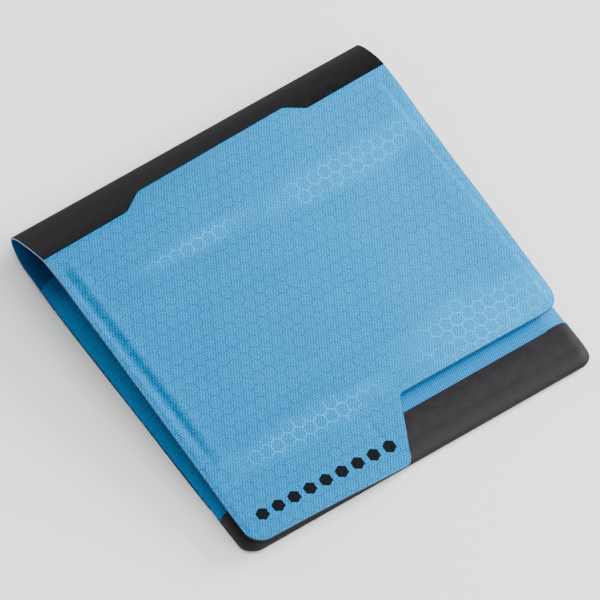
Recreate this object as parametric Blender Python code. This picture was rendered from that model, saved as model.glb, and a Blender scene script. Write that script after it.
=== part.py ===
"""Folding pocket wallet of bonded ripstop sheet, lying closed on its lower half.

The fold runs along X, on the +Y side. The free edges are on the -Y side. Z is up.
The origin is on the resting face, under the middle of the wallet.
"""

import math

import bpy
import bmesh
from mathutils import Vector

# Driving dimensions, in metres
WIDTH = 0.095
COVER_SHIFT = 0.002
LOWER_DEPTH = 0.0976
COVER_DEPTH = 0.099
FOLD_Y = 0.0495
SHEET = 0.0004
FILM = 0.0003
GAP = 0.0003

# The fold: a half round nose, then a rise to the crest where the cover starts
NOSE_RADIUS = 0.0056
NOSE_HEIGHT = 0.0070
CREST_DEPTH = 0.016
CREST_HEIGHT = 0.016
COVER_EDGE_HEIGHT = 0.005
HINGE_ANGLES = (-90.0, -35.0, 25.0)

# Black film bands
FOLD_BAND_DEPTH = 0.0133
UNDER_BAND_DEPTH = 0.0175
UNDER_STEP_START = 0.018
UNDER_STEP_END = 0.0205
UNDER_BAND_LIFT = 0.0001
FOLD_BAND_NOTCH = 0.0045
NOTCH_START = 0.27
NOTCH_END = 0.75
NOTCH_SLANT = 0.006
NOTCH_RADIUS = 0.001
NOTCH_OVERRUN = 0.002
NOTCH_LOW = -0.004
NOTCH_HIGH = 0.012
EDGE_BAND_WIDTH = 0.0125
EDGE_BAND_HEIGHT = 0.0035
EDGE_STEP_RUN = 0.0013

# Cover outline
TAB_WIDTH = 0.0425
TAB_ROOT_WIDTH = 0.050
TAB_LENGTH = 0.0155
TAB_CORNER_RADIUS = 0.0025
TAB_ROOT_RADIUS = 0.0015
CORNER_RADIUS = 0.005

# Card unit under the cover, and note pocket in the lower half
CARD_UNIT_START = 0.0215
CARD_UNIT_END = 0.083
CARD_POCKET_MOUTHS = (0.0325, 0.042, 0.0515)
CARD_LINING_RADII = (0.0015, 0.003)
CARD_HEM_RADIUS = 0.002
SEAM_WIDTH = 0.0024
NOTE_SEAM_CLEARANCE = 0.002
NOTE_SHEET_HEIGHT = 0.0025
NOTE_SHEET_START = 0.0175

# Coin pocket and its zip, which runs along X
COIN_TOP_FLAT = 0.002
COIN_FRONT_FLAT = 0.003
COIN_LIP_RUN = 0.006
COIN_LIP_RISE = 0.0002
ZIP_DEPTH = 0.027
ZIP_HALF_LENGTH = 0.040
ZIP_TAPE_WIDTH = 0.0050
ZIP_TAPE_HEIGHT = 0.0043
ZIP_TAPE_OVERRUN = 0.003
ZIP_CHANNEL = 0.0013
TOOTH_ROW_WIDTH = 0.0010
TOOTH_SINK = 0.0003
TOOTH_RISE = 0.0007
TOOTH_BEVEL = 0.00025
STOP_LENGTH = 0.0015
STOP_RISE = 0.0002
STOP_BEVEL = 0.0002
SLIDER_LENGTH = 0.008
SLIDER_WIDTH = 0.0050
SLIDER_X = 0.034
SLIDER_TAIL_RADIUS = 0.0012
SLIDER_NOSE_RADIUS = 0.0018
SLIDER_BASE = 0.0004
SLIDER_TOP = 0.0005
SLIDER_WEB_HALF = 0.0003
BAIL_HALF_LENGTH = 0.0021
BAIL_HALF_WIDTH = 0.00045
BAIL_WIRE = 0.0006
BAIL_SHOULDER = 0.0012
BAIL_HEIGHT = 0.0017
BAIL_ROOT = 0.0002
PULLER_BAR_HEIGHT = 0.00072
PULLER_LENGTH = 0.0061
PULLER_HALF_WIDTH = 0.0024
PULLER_NECK_HALF_WIDTH = 0.0019
PULLER_HALF_THICKNESS = 0.0003
PULLER_HEAD = 0.0004
PULLER_NECK = 0.0006
PULLER_CORNER_RADIUS = 0.0018
PULLER_NECK_RADIUS = 0.0005
PULLER_HEAD_RADIUS = 0.0003
PULLER_WINDOW = 0.0028
PULLER_WINDOW_START = 0.00042
PULLER_WINDOW_HALF_WIDTH = 0.0011
PULLER_WINDOW_RADIUS = 0.0004

# Shapes that only cut others reach past them by these margins
CUT_MARGIN = 0.001
TRIM_MARGIN = 0.002
TRIM_RUN = 0.012
TRIM_LOW = -0.001
TRIM_HIGH = 0.008

COVER_SLOPE = math.atan2(CREST_HEIGHT - COVER_EDGE_HEIGHT, COVER_DEPTH - CREST_DEPTH)
COVER_LENGTH = (COVER_DEPTH - CREST_DEPTH) / math.cos(COVER_SLOPE)
OVERHANG = COVER_SHIFT * (COVER_LENGTH - TAB_LENGTH - CORNER_RADIUS) / COVER_LENGTH
LEFT = -(WIDTH + OVERHANG) / 2
RIGHT = LEFT + WIDTH


def clear_scene():
    """Remove every object of the startup scene."""
    for obj in list(bpy.data.objects):
        bpy.data.objects.remove(obj, do_unlink=True)


def material(name, rgb, roughness, metallic=0.0):
    """Principled material with one colour and finish."""
    made = bpy.data.materials.new(name)
    made.use_nodes = True
    shader = made.node_tree.nodes["Principled BSDF"]
    shader.inputs["Base Color"].default_value = (*rgb, 1.0)
    shader.inputs["Roughness"].default_value = roughness
    shader.inputs["Metallic"].default_value = metallic
    return made


def world(depth, height, x=0.0):
    """World point for a depth behind the fold's front and a height above the resting face."""
    return Vector((x, FOLD_Y - depth, height))


def on_nose(degrees, radius):
    """(depth, height) on the round nose: -90 is its underside, 0 its front and 90 its top."""
    angle = math.radians(degrees)
    return (NOSE_RADIUS - radius * math.cos(angle), NOSE_HEIGHT + radius * math.sin(angle))


def arc(start, end, radius, steps=10):
    """Points along the round nose between two angles in degrees."""
    return [on_nose(start + (end - start) * i / steps, radius) for i in range(steps + 1)]


def tangent_angle(radius):
    """Angle on a nose of this radius where a straight line to the crest leaves it."""
    depth = CREST_DEPTH - NOSE_RADIUS
    height = CREST_HEIGHT - NOSE_HEIGHT
    reach = math.hypot(depth, height)
    slope = math.atan2(height, depth) - math.asin(radius / reach)
    return 90.0 - math.degrees(slope)


def offset_path(path, distance):
    """The path moved to its left by a distance, with mitred corners."""
    moved = []
    for i, point in enumerate(path):
        here = Vector(point)
        before = here - Vector(path[max(i - 1, 0)])
        after = Vector(path[min(i + 1, len(path) - 1)]) - here
        first = (before if before.length > 0 else after).normalized()
        second = (after if after.length > 0 else before).normalized()
        normal = Vector((-first.y - second.y, first.x + second.x)).normalized()
        cosine = normal.dot(Vector((-first.y, first.x)))
        moved.append(tuple(here + normal * distance / cosine))
    return moved


def rounded(corners, steps=6):
    """Closed outline through corners (x, y, radius), each turned with an arc."""
    outline = []
    for i, (x, y, radius) in enumerate(corners):
        here = Vector((x, y))
        before = (Vector(corners[i - 1][:2]) - here).normalized()
        after = (Vector(corners[(i + 1) % len(corners)][:2]) - here).normalized()
        if radius == 0.0:
            outline.append(here)
            continue
        half = before.angle(after) / 2
        centre = here + (before + after).normalized() * radius / math.sin(half)
        spoke = here + before * radius / math.tan(half) - centre
        sweep = spoke.angle_signed(here + after * radius / math.tan(half) - centre)
        for step in range(steps + 1):
            turn = -sweep * step / steps
            cosine, sine = math.cos(turn), math.sin(turn)
            turned = Vector((spoke.x * cosine - spoke.y * sine, spoke.x * sine + spoke.y * cosine))
            outline.append(centre + turned)
    return outline


def add_object(name, mesh_data, finish, parent=None, smooth=True):
    """Finish a bmesh as a named object with its material."""
    bmesh.ops.recalc_face_normals(mesh_data, faces=mesh_data.faces)
    mesh = bpy.data.meshes.new(name)
    mesh_data.to_mesh(mesh)
    mesh_data.free()
    mesh.materials.append(finish)
    if smooth:
        mesh.shade_smooth()
        mesh.set_sharp_from_angle(angle=math.radians(30))
    obj = bpy.data.objects.new(name, mesh)
    bpy.context.scene.collection.objects.link(obj)
    obj.parent = parent
    return obj


def pivot(name, position, parent=None):
    """Empty on a joint's axis. The parts that move with it are its children."""
    empty = bpy.data.objects.new(name, None)
    empty.empty_display_size = 0.005
    bpy.context.scene.collection.objects.link(empty)
    empty.parent = parent
    empty.location = position if parent is None else position - world_place(parent)
    return empty


def world_place(obj):
    """Place of an unturned pivot in the world, through its parents."""
    place = obj.location.copy()
    while obj.parent is not None:
        obj = obj.parent
        place += obj.location
    return place


def extruded(points, direction):
    """Closed bmesh between a flat loop of points and the same loop moved along a direction."""
    data = bmesh.new()
    face = data.faces.new([data.verts.new(point) for point in points])
    moved = bmesh.ops.extrude_face_region(data, geom=[face])["geom"]
    verts = [item for item in moved if isinstance(item, bmesh.types.BMVert)]
    bmesh.ops.translate(data, verts=verts, vec=direction)
    return data


def profile_sheet(name, path, thickness, left, right, finish, parent=None):
    """Sheet that follows a (depth, height) path, between two places along X."""
    loop = list(path) + offset_path(path, thickness)[::-1]
    home = world_place(parent) if parent else Vector()
    points = [world(depth, height, left) - home for depth, height in loop]
    return add_object(name, extruded(points, Vector((right - left, 0, 0))), finish, parent)


def plan_sheet(name, outline, low, high, finish, parent=None):
    """Flat sheet with an outline in its parent's X and Y, between two heights."""
    points = [Vector((x, y, low)) for x, y in outline]
    return add_object(name, extruded(points, Vector((0, 0, high - low))), finish, parent)


def box(name, low, high, finish, parent=None, bevel=0.0):
    """Block between two corners, in its parent's space, with small round edges."""
    outline = [(low[0], low[1]), (high[0], low[1]), (high[0], high[1]), (low[0], high[1])]
    block = plan_sheet(name, outline, low[2], high[2], finish, parent)
    if bevel:
        rounding = block.modifiers.new("rounding", "BEVEL")
        rounding.width = bevel
        rounding.segments = 2
    return block


def use_cutter(target, cutter, operation):
    """Cut or trim a part with a hidden helper."""
    cutter.hide_render = True
    cutter.display_type = "WIRE"
    cut = target.modifiers.new(cutter.name, "BOOLEAN")
    cut.operation = operation
    cut.object = cutter


def corner_trim(finish):
    """Plan outline of the lower half, which rounds the corners of its free edge."""
    front = FOLD_Y - LOWER_DEPTH
    corners = [
        (LEFT - TRIM_MARGIN, FOLD_Y, 0.0),
        (LEFT - TRIM_MARGIN, front + TRIM_RUN, 0.0),
        (LEFT, front + TRIM_RUN, 0.0),
        (LEFT, front, CORNER_RADIUS),
        (RIGHT, front, CORNER_RADIUS),
        (RIGHT, front + TRIM_RUN, 0.0),
        (RIGHT + TRIM_MARGIN, front + TRIM_RUN, 0.0),
        (RIGHT + TRIM_MARGIN, FOLD_Y, 0.0),
    ]
    return plan_sheet("corner_trim", rounded(corners), TRIM_LOW, TRIM_HIGH, finish)


def build_lower_half(finishes):
    """Shell, note sheet, seam tapes and film bands of the half that lies on the table."""
    trim = corner_trim(finishes["film"])
    band_start = LOWER_DEPTH - EDGE_BAND_WIDTH
    edge_end = LOWER_DEPTH - FILM - 3 * GAP
    lift = FILM + GAP
    nose_under = on_nose(HINGE_ANGLES[0], NOSE_RADIUS)
    shell_path = [
        (edge_end, lift),
        (band_start - GAP, lift),
        (band_start - GAP - EDGE_STEP_RUN, 0.0),
        (UNDER_STEP_END, 0.0),
        (UNDER_STEP_START, lift),
        (nose_under[0] + GAP / 2, nose_under[1] + lift),
    ]
    shell = profile_sheet("back_shell", shell_path, -SHEET, LEFT, RIGHT, finishes["ripstop"])
    use_cutter(shell, trim, "INTERSECT")

    note_path = [(edge_end, NOTE_SHEET_HEIGHT), (NOTE_SHEET_START, NOTE_SHEET_HEIGHT)]
    note = profile_sheet("note_pocket_sheet", note_path, -SHEET, LEFT, RIGHT, finishes["ribbed"])
    use_cutter(note, trim, "INTERSECT")

    radius = EDGE_BAND_HEIGHT / 2
    turn = [(LOWER_DEPTH - radius + radius * math.sin(a), radius - radius * math.cos(a))
            for a in (math.pi * i / 12 for i in range(13))]
    band_path = [(band_start, 0.0)] + turn + [(band_start, EDGE_BAND_HEIGHT)]
    band = profile_sheet("edge_band", band_path, FILM, LEFT, RIGHT, finishes["film"])
    use_cutter(band, trim, "INTERSECT")

    under_path = [(UNDER_BAND_DEPTH, UNDER_BAND_LIFT), (nose_under[0] + GAP / 2, nose_under[1])]
    profile_sheet("fold_band_under", under_path, -FILM, LEFT, RIGHT, finishes["film"])

    seam_low = SHEET + GAP
    seam_high = NOTE_SHEET_HEIGHT - GAP
    start = FOLD_Y - UNDER_STEP_END - GAP
    end = FOLD_Y - (band_start - NOTE_SEAM_CLEARANCE)
    for side, inner, outer in (("left", LEFT + SEAM_WIDTH, LEFT), ("right", RIGHT, RIGHT - SEAM_WIDTH)):
        box(f"note_seam_tape_{side}", (outer, end, seam_low), (inner, start, seam_high), finishes["tape"])


def build_coin_pocket(finishes):
    """Panels, zip tapes, tooth rows and stops on the note sheet."""
    near = ZIP_DEPTH - ZIP_CHANNEL / 2 - TOOTH_ROW_WIDTH - GAP
    far = ZIP_DEPTH + ZIP_CHANNEL / 2 + TOOTH_ROW_WIDTH + GAP
    tape = ZIP_TAPE_WIDTH - TOOTH_ROW_WIDTH - GAP
    height = ZIP_TAPE_HEIGHT
    panel_end = LOWER_DEPTH - EDGE_BAND_WIDTH - GAP
    low_height = NOTE_SHEET_HEIGHT + SHEET + GAP

    top_path = [
        (near - tape - GAP, height),
        (near - tape - COIN_TOP_FLAT, height),
        (NOTE_SHEET_START, low_height),
    ]
    profile_sheet("coin_pocket_top", top_path, -FILM, LEFT, RIGHT, finishes["ribbed"])
    front_path = [
        (panel_end, low_height),
        (panel_end - COIN_LIP_RUN, low_height + COIN_LIP_RISE),
        (far + tape + COIN_FRONT_FLAT, height),
        (far + tape + GAP, height),
    ]
    profile_sheet("coin_pocket_front", front_path, -FILM, LEFT, RIGHT, finishes["ribbed"])

    for side, low, high in (("rear", near - tape, near), ("front", far, far + tape)):
        path = [(high, height), (low, height)]
        profile_sheet(f"zip_tape_{side}", path, -FILM, -ZIP_HALF_LENGTH - ZIP_TAPE_OVERRUN,
                      ZIP_HALF_LENGTH + ZIP_TAPE_OVERRUN, finishes["tape"])
    tooth_low = ZIP_TAPE_HEIGHT - TOOTH_SINK
    tooth_high = ZIP_TAPE_HEIGHT + TOOTH_RISE
    for side, depth in (("rear", near + GAP), ("front", far - GAP - TOOTH_ROW_WIDTH)):
        back = FOLD_Y - depth
        box(f"zip_teeth_{side}", (-ZIP_HALF_LENGTH, back - TOOTH_ROW_WIDTH, tooth_low),
            (ZIP_HALF_LENGTH, back, tooth_high), finishes["teeth"], bevel=TOOTH_BEVEL)
    centre = FOLD_Y - ZIP_DEPTH
    reach = ZIP_CHANNEL / 2 + TOOTH_ROW_WIDTH
    left_end = -ZIP_HALF_LENGTH - GAP
    box("zip_bottom_stop", (left_end - STOP_LENGTH, centre - reach, tooth_low),
        (left_end, centre + reach, tooth_high + STOP_RISE), finishes["metal"], bevel=STOP_BEVEL)
    right_end = ZIP_HALF_LENGTH + GAP
    box("zip_top_stop", (right_end, centre - reach, tooth_low),
        (right_end + STOP_LENGTH, centre + reach, tooth_high + STOP_RISE), finishes["metal"],
        bevel=STOP_BEVEL)


def build_slider(finishes):
    """Slider on the tooth rows, and the puller that hangs on its bail."""
    low_plate = NOTE_SHEET_HEIGHT + SHEET + GAP
    top_plate = ZIP_TAPE_HEIGHT + TOOTH_RISE + GAP
    carriage = pivot("slider_pivot", Vector((SLIDER_X, FOLD_Y - ZIP_DEPTH, low_plate)))
    rise = top_plate - low_plate
    top = rise + SLIDER_TOP
    half, side = SLIDER_LENGTH / 2, SLIDER_WIDTH / 2
    plate = rounded([(-half, -side, SLIDER_TAIL_RADIUS), (half, -side, SLIDER_NOSE_RADIUS),
                     (half, side, SLIDER_NOSE_RADIUS), (-half, side, SLIDER_TAIL_RADIUS)], 4)
    slider = plan_sheet("zip_slider", plate, 0.0, top, finishes["metal"], carriage)
    for name, inner, outer in (
        ("rear", SLIDER_WEB_HALF, side + CUT_MARGIN),
        ("front", -side - CUT_MARGIN, -SLIDER_WEB_HALF),
    ):
        groove = box(f"slider_groove_{name}", (-half - CUT_MARGIN, inner, SLIDER_BASE),
                     (half + CUT_MARGIN, outer, rise), finishes["metal"], carriage)
        use_cutter(slider, groove, "DIFFERENCE")
    use_cutter(slider, bail_shape(top, finishes["metal"], carriage), "UNION")
    bar = world_place(carriage) + Vector((0, 0, top + PULLER_BAR_HEIGHT))
    build_puller(finishes["metal"], pivot("puller_pivot", bar, carriage))


def bail_shape(top, finish, carriage):
    """Arched bail that stands on the slider's top plate and holds the puller."""
    post, foot = BAIL_HALF_LENGTH, top - BAIL_ROOT
    shoulder, crown = top + BAIL_SHOULDER, top + BAIL_HEIGHT
    chamfer = BAIL_HEIGHT - BAIL_SHOULDER
    outer = [(-post, foot), (-post, shoulder), (-post + chamfer, crown),
             (post - chamfer, crown), (post, shoulder), (post, foot)]
    inner = [(post - BAIL_WIRE, foot), (post - BAIL_WIRE, shoulder),
             (-post + BAIL_WIRE, shoulder), (-post + BAIL_WIRE, foot)]
    points = [Vector((x, BAIL_HALF_WIDTH, z)) for x, z in outer + inner]
    shape = extruded(points, Vector((0, -2 * BAIL_HALF_WIDTH, 0)))
    return add_object("bail_shape", shape, finish, carriage)


def build_puller(finish, swing):
    """Puller plate with the window that goes round the bail's bar."""
    neck, wide = PULLER_NECK_HALF_WIDTH, PULLER_HALF_WIDTH
    outline = rounded([
        (-PULLER_NECK, neck, PULLER_NECK_RADIUS),
        (-PULLER_LENGTH, wide, PULLER_CORNER_RADIUS),
        (-PULLER_LENGTH, -wide, PULLER_CORNER_RADIUS),
        (-PULLER_NECK, -neck, PULLER_NECK_RADIUS),
        (PULLER_HEAD, -neck, PULLER_HEAD_RADIUS),
        (PULLER_HEAD, neck, PULLER_HEAD_RADIUS),
    ], 4)
    puller = plan_sheet("zip_puller", outline, -PULLER_HALF_THICKNESS, PULLER_HALF_THICKNESS, finish, swing)
    near, far, half = PULLER_WINDOW_START, PULLER_WINDOW, PULLER_WINDOW_HALF_WIDTH
    window = rounded([(-near, half, 0.0), (-far, half, PULLER_WINDOW_RADIUS),
                      (-far, -half, PULLER_WINDOW_RADIUS), (-near, -half, 0.0)], 3)
    opening = plan_sheet("puller_window", window, -CUT_MARGIN, CUT_MARGIN, finish, swing)
    use_cutter(puller, opening, "DIFFERENCE")


def fold_pivots():
    """Pivots of the fold, from the lower half to the cover, each on the sheet's outer face."""
    first = pivot("fold_low_pivot", world(*on_nose(HINGE_ANGLES[0], NOSE_RADIUS)))
    second = pivot("fold_front_pivot", world(*on_nose(HINGE_ANGLES[1], NOSE_RADIUS)), first)
    third = pivot("fold_top_pivot", world(*on_nose(HINGE_ANGLES[2], NOSE_RADIUS)), second)
    crest = pivot("cover_pivot", world(CREST_DEPTH, CREST_HEIGHT), third)
    return first, second, third, crest


def notch_cutter(finish, parent):
    """Plan shape that narrows the fold band between its two slanted steps."""
    home = world_place(parent)
    left = LEFT + WIDTH * NOTCH_START - home.x
    right = LEFT + WIDTH * NOTCH_END - home.x
    shallow = FOLD_Y - (FOLD_BAND_DEPTH - FOLD_BAND_NOTCH) - home.y
    deep = FOLD_Y - FOLD_BAND_DEPTH - NOTCH_OVERRUN - home.y
    slant = NOTCH_SLANT * (FOLD_BAND_NOTCH + NOTCH_OVERRUN) / FOLD_BAND_NOTCH / 2
    corners = [(left - slant, deep, 0.0), (left + slant / 2, shallow, NOTCH_RADIUS),
               (right - slant / 2, shallow, NOTCH_RADIUS), (right + slant, deep, 0.0)]
    return plan_sheet("band_notch", rounded(corners, 4), NOTCH_LOW, NOTCH_HIGH, finish, parent)


def build_fold(finishes, pivots):
    """Stretches of shell and film band round the fold, one pair for each moving stretch."""
    half_gap = math.degrees(GAP / 2 / (NOSE_RADIUS - 2 * FILM - SHEET))
    shell_radius = NOSE_RADIUS - FILM - GAP
    for name, parent, start, end in (
        ("low", pivots[0], HINGE_ANGLES[0], HINGE_ANGLES[1]),
        ("front", pivots[1], HINGE_ANGLES[1], HINGE_ANGLES[2]),
    ):
        span = (start + half_gap, end - half_gap)
        profile_sheet(f"spine_shell_{name}", arc(*span, shell_radius), -SHEET, LEFT, RIGHT,
                      finishes["ripstop"], parent)
        profile_sheet(f"fold_band_{name}", arc(*span, NOSE_RADIUS), -FILM, LEFT, RIGHT,
                      finishes["film"], parent)

    start = HINGE_ANGLES[2] + half_gap
    leave = tangent_angle(shell_radius)
    slope = math.radians(90.0 - leave)
    along = Vector((math.cos(slope), math.sin(slope)))
    out = Vector((-along.y, along.x)) * (FILM + GAP)
    end = Vector((CREST_DEPTH, CREST_HEIGHT)) - along * GAP
    profile_sheet("spine_shell_top", arc(start, leave, shell_radius, 14) + [tuple(end)], -SHEET,
                  LEFT, RIGHT, finishes["ripstop"], pivots[2])
    film_end = Vector((CREST_DEPTH, CREST_HEIGHT)) + out
    film_end -= along * (film_end.x - FOLD_BAND_DEPTH) / along.x
    top_band = profile_sheet("fold_band_top", arc(start, leave, NOSE_RADIUS, 14) + [tuple(film_end)],
                             -FILM, LEFT, RIGHT, finishes["film"], pivots[2])
    use_cutter(top_band, notch_cutter(finishes["film"], pivots[2]), "DIFFERENCE")


def on_cover(outline):
    """Outline moved sideways, more towards the free edge, as the cover lies askew."""
    return [(x - COVER_SHIFT * y / COVER_LENGTH, y) for x, y in outline]


def cover_sheet(name, corners, low, high, finish, plane):
    """Flat layer of the cover, from its corners (x, y, radius) on an unskewed cover."""
    return plan_sheet(name, on_cover(rounded(corners)), low, high, finish, plane)


def build_cover(finishes, crest):
    """Cover sheet, and the card unit that hangs under it."""
    plane = bpy.data.objects.new("cover_plane", None)
    bpy.context.scene.collection.objects.link(plane)
    plane.parent = crest
    plane.rotation_euler = (COVER_SLOPE, 0.0, 0.0)

    set_back = COVER_LENGTH - TAB_LENGTH
    outline = [
        (LEFT, -GAP, 0.0),
        (LEFT, -COVER_LENGTH, CORNER_RADIUS),
        (LEFT + TAB_WIDTH, -COVER_LENGTH, TAB_CORNER_RADIUS),
        (LEFT + TAB_ROOT_WIDTH, -set_back, TAB_ROOT_RADIUS),
        (RIGHT, -set_back, CORNER_RADIUS),
        (RIGHT, -GAP, 0.0),
    ]
    cover_sheet("cover_shell", outline, -SHEET, 0.0, finishes["ripstop"], plane)

    top = -SHEET - GAP
    start = CARD_UNIT_START - CREST_DEPTH
    end = CARD_UNIT_END - CREST_DEPTH
    near, far = CARD_LINING_RADII
    lining = [(LEFT, -start, near), (LEFT, -end, far), (RIGHT, -end, far), (RIGHT, -start, near)]
    cover_sheet("card_lining", lining, top - FILM, top, finishes["lining"], plane)

    layer = top - FILM - GAP
    seam_top = layer
    inner_left = LEFT + SEAM_WIDTH + GAP
    inner_right = RIGHT - SEAM_WIDTH - GAP
    pocket_end = end - SEAM_WIDTH - GAP
    for name, opening in zip(("rear", "middle", "front"), CARD_POCKET_MOUTHS):
        mouth = opening - CREST_DEPTH
        pocket = [(inner_left, -mouth, 0.0), (inner_left, -pocket_end, 0.0),
                  (inner_right, -pocket_end, 0.0), (inner_right, -mouth, 0.0)]
        cover_sheet(f"card_pocket_{name}", pocket, layer - FILM, layer, finishes["lining"], plane)
        layer -= FILM + GAP
    seam_low = layer + GAP
    for side, outer in (("left", LEFT), ("right", RIGHT - SEAM_WIDTH)):
        tape = [(outer, -start, 0.0), (outer, -end + SEAM_WIDTH + GAP, 0.0),
                (outer + SEAM_WIDTH, -end + SEAM_WIDTH + GAP, 0.0), (outer + SEAM_WIDTH, -start, 0.0)]
        cover_sheet(f"card_seam_tape_{side}", tape, seam_low, seam_top, finishes["tape"], plane)
    hem = [(LEFT, -end + SEAM_WIDTH, 0.0), (LEFT, -end, CARD_HEM_RADIUS),
           (RIGHT, -end, CARD_HEM_RADIUS), (RIGHT, -end + SEAM_WIDTH, 0.0)]
    cover_sheet("card_seam_tape_bottom", hem, seam_low, seam_top, finishes["tape"], plane)


def main():
    """Build the whole wallet."""
    clear_scene()
    finishes = {
        "ripstop": material("blue_ripstop", (0.02, 0.40, 0.75), 0.6),
        "ribbed": material("blue_ribbed_sheet", (0.01, 0.30, 0.60), 0.7),
        "film": material("black_film", (0.02, 0.02, 0.022), 0.5),
        "tape": material("seam_tape", (0.10, 0.09, 0.085), 0.7),
        "lining": material("grey_lining", (0.16, 0.17, 0.18), 0.7),
        "teeth": material("zip_teeth", (0.03, 0.03, 0.03), 0.4),
        "metal": material("zip_metal", (0.35, 0.35, 0.36), 0.35, 1.0),
    }
    build_lower_half(finishes)
    build_coin_pocket(finishes)
    build_slider(finishes)
    pivots = fold_pivots()
    build_fold(finishes, pivots)
    build_cover(finishes, pivots[3])


main()
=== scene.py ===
"""Looks of a folding pocket wallet of laminated hexagon ripstop.

The shell is one bent sheet: the lower half, the fold and the cover. Black film is
bonded over the fold and round the free edge. Inside are a card unit, a note pocket
and a coin pocket with its zip. X runs along the fold and Z is up.
"""

from __future__ import annotations

import logging
import math
from collections.abc import Callable, Sequence
from dataclasses import dataclass, field
from enum import Enum
from typing import Any

import bmesh
import bpy
import numpy as np
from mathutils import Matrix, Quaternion, Vector


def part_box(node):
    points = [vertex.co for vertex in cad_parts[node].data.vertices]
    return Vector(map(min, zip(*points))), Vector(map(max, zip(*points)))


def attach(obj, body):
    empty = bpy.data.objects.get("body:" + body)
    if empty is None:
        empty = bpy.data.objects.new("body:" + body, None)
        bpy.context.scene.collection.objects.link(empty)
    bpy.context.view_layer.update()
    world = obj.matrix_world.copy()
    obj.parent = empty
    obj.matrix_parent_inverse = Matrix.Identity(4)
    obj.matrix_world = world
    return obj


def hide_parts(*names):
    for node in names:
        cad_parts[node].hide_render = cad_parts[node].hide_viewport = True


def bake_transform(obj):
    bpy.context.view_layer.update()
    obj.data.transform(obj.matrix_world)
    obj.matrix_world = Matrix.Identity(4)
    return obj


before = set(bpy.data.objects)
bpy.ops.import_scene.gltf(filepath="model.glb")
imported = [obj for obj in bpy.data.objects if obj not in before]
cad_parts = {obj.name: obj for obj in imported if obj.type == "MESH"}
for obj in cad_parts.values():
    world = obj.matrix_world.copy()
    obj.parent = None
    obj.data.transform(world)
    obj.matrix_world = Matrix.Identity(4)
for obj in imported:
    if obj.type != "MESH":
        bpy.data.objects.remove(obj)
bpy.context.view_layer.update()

MM = 0.001
UV_PER_METRE = 10.0
COVER_SHIFT = 2.0 * MM
LOWER_SHIFT = 0.9 * MM

# settings that several nodes share: an eased step from 0 to 1, and soft uneven patches
STEP = {"interpolation_type": "SMOOTHSTEP", 3: 0.0, 4: 1.0}
MOTTLE = {"Detail": 2.0, "Roughness": 0.55}

Trio = tuple[bpy.types.Material, bpy.types.Material, bpy.types.Material]

log = logging.getLogger("wallet")


def linear(colour: str) -> tuple[float, float, float, float]:
    """Turn an sRGB hex colour into the linear one that shaders take.

    Args:
        colour: Six hex digits after a hash sign.

    Returns:
        Linear red, green, blue and an alpha of one.
    """
    channels = [int(colour[i : i + 2], 16) / 255 for i in (1, 3, 5)]
    turned = [c / 12.92 if c <= 0.04045 else ((c + 0.055) / 1.055) ** 2.4 for c in channels]
    return (turned[0], turned[1], turned[2], 1.0)


def smooth(value: np.ndarray | float) -> np.ndarray:
    """Ease a value from 0 to 1, level at both ends."""
    share = np.clip(value, 0.0, 1.0)
    return share * share * (3.0 - 2.0 * share)


def ridge(value: np.ndarray, centre: float, width: float) -> np.ndarray:
    """Height from 0 to 1 of a soft ridge of some width about a centre."""
    return np.exp(-(((value - centre) / width) ** 2))


def add_node(
    tree: bpy.types.NodeTree,
    kind: str,
    settings: dict[str | int, Any] | None = None,
    links: dict[str | int, bpy.types.NodeSocket] | None = None,
) -> bpy.types.Node:
    """Add a node, set its values and join its inputs.

    Args:
        tree: Tree that gets the node.
        kind: Type name of the node.
        settings: Input values by socket name or number, and node properties by name.
        links: Source sockets by the input's name or number.

    Returns:
        The new node.
    """
    node = tree.nodes.new(kind)
    for key, value in (settings or {}).items():
        if isinstance(key, int) or key in node.inputs:
            node.inputs[key].default_value = value
        else:
            setattr(node, key, value)
    for key, source in (links or {}).items():
        tree.links.new(source, node.inputs[key])
    return node


# ---------------------------------------------------------------- finishes


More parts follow.
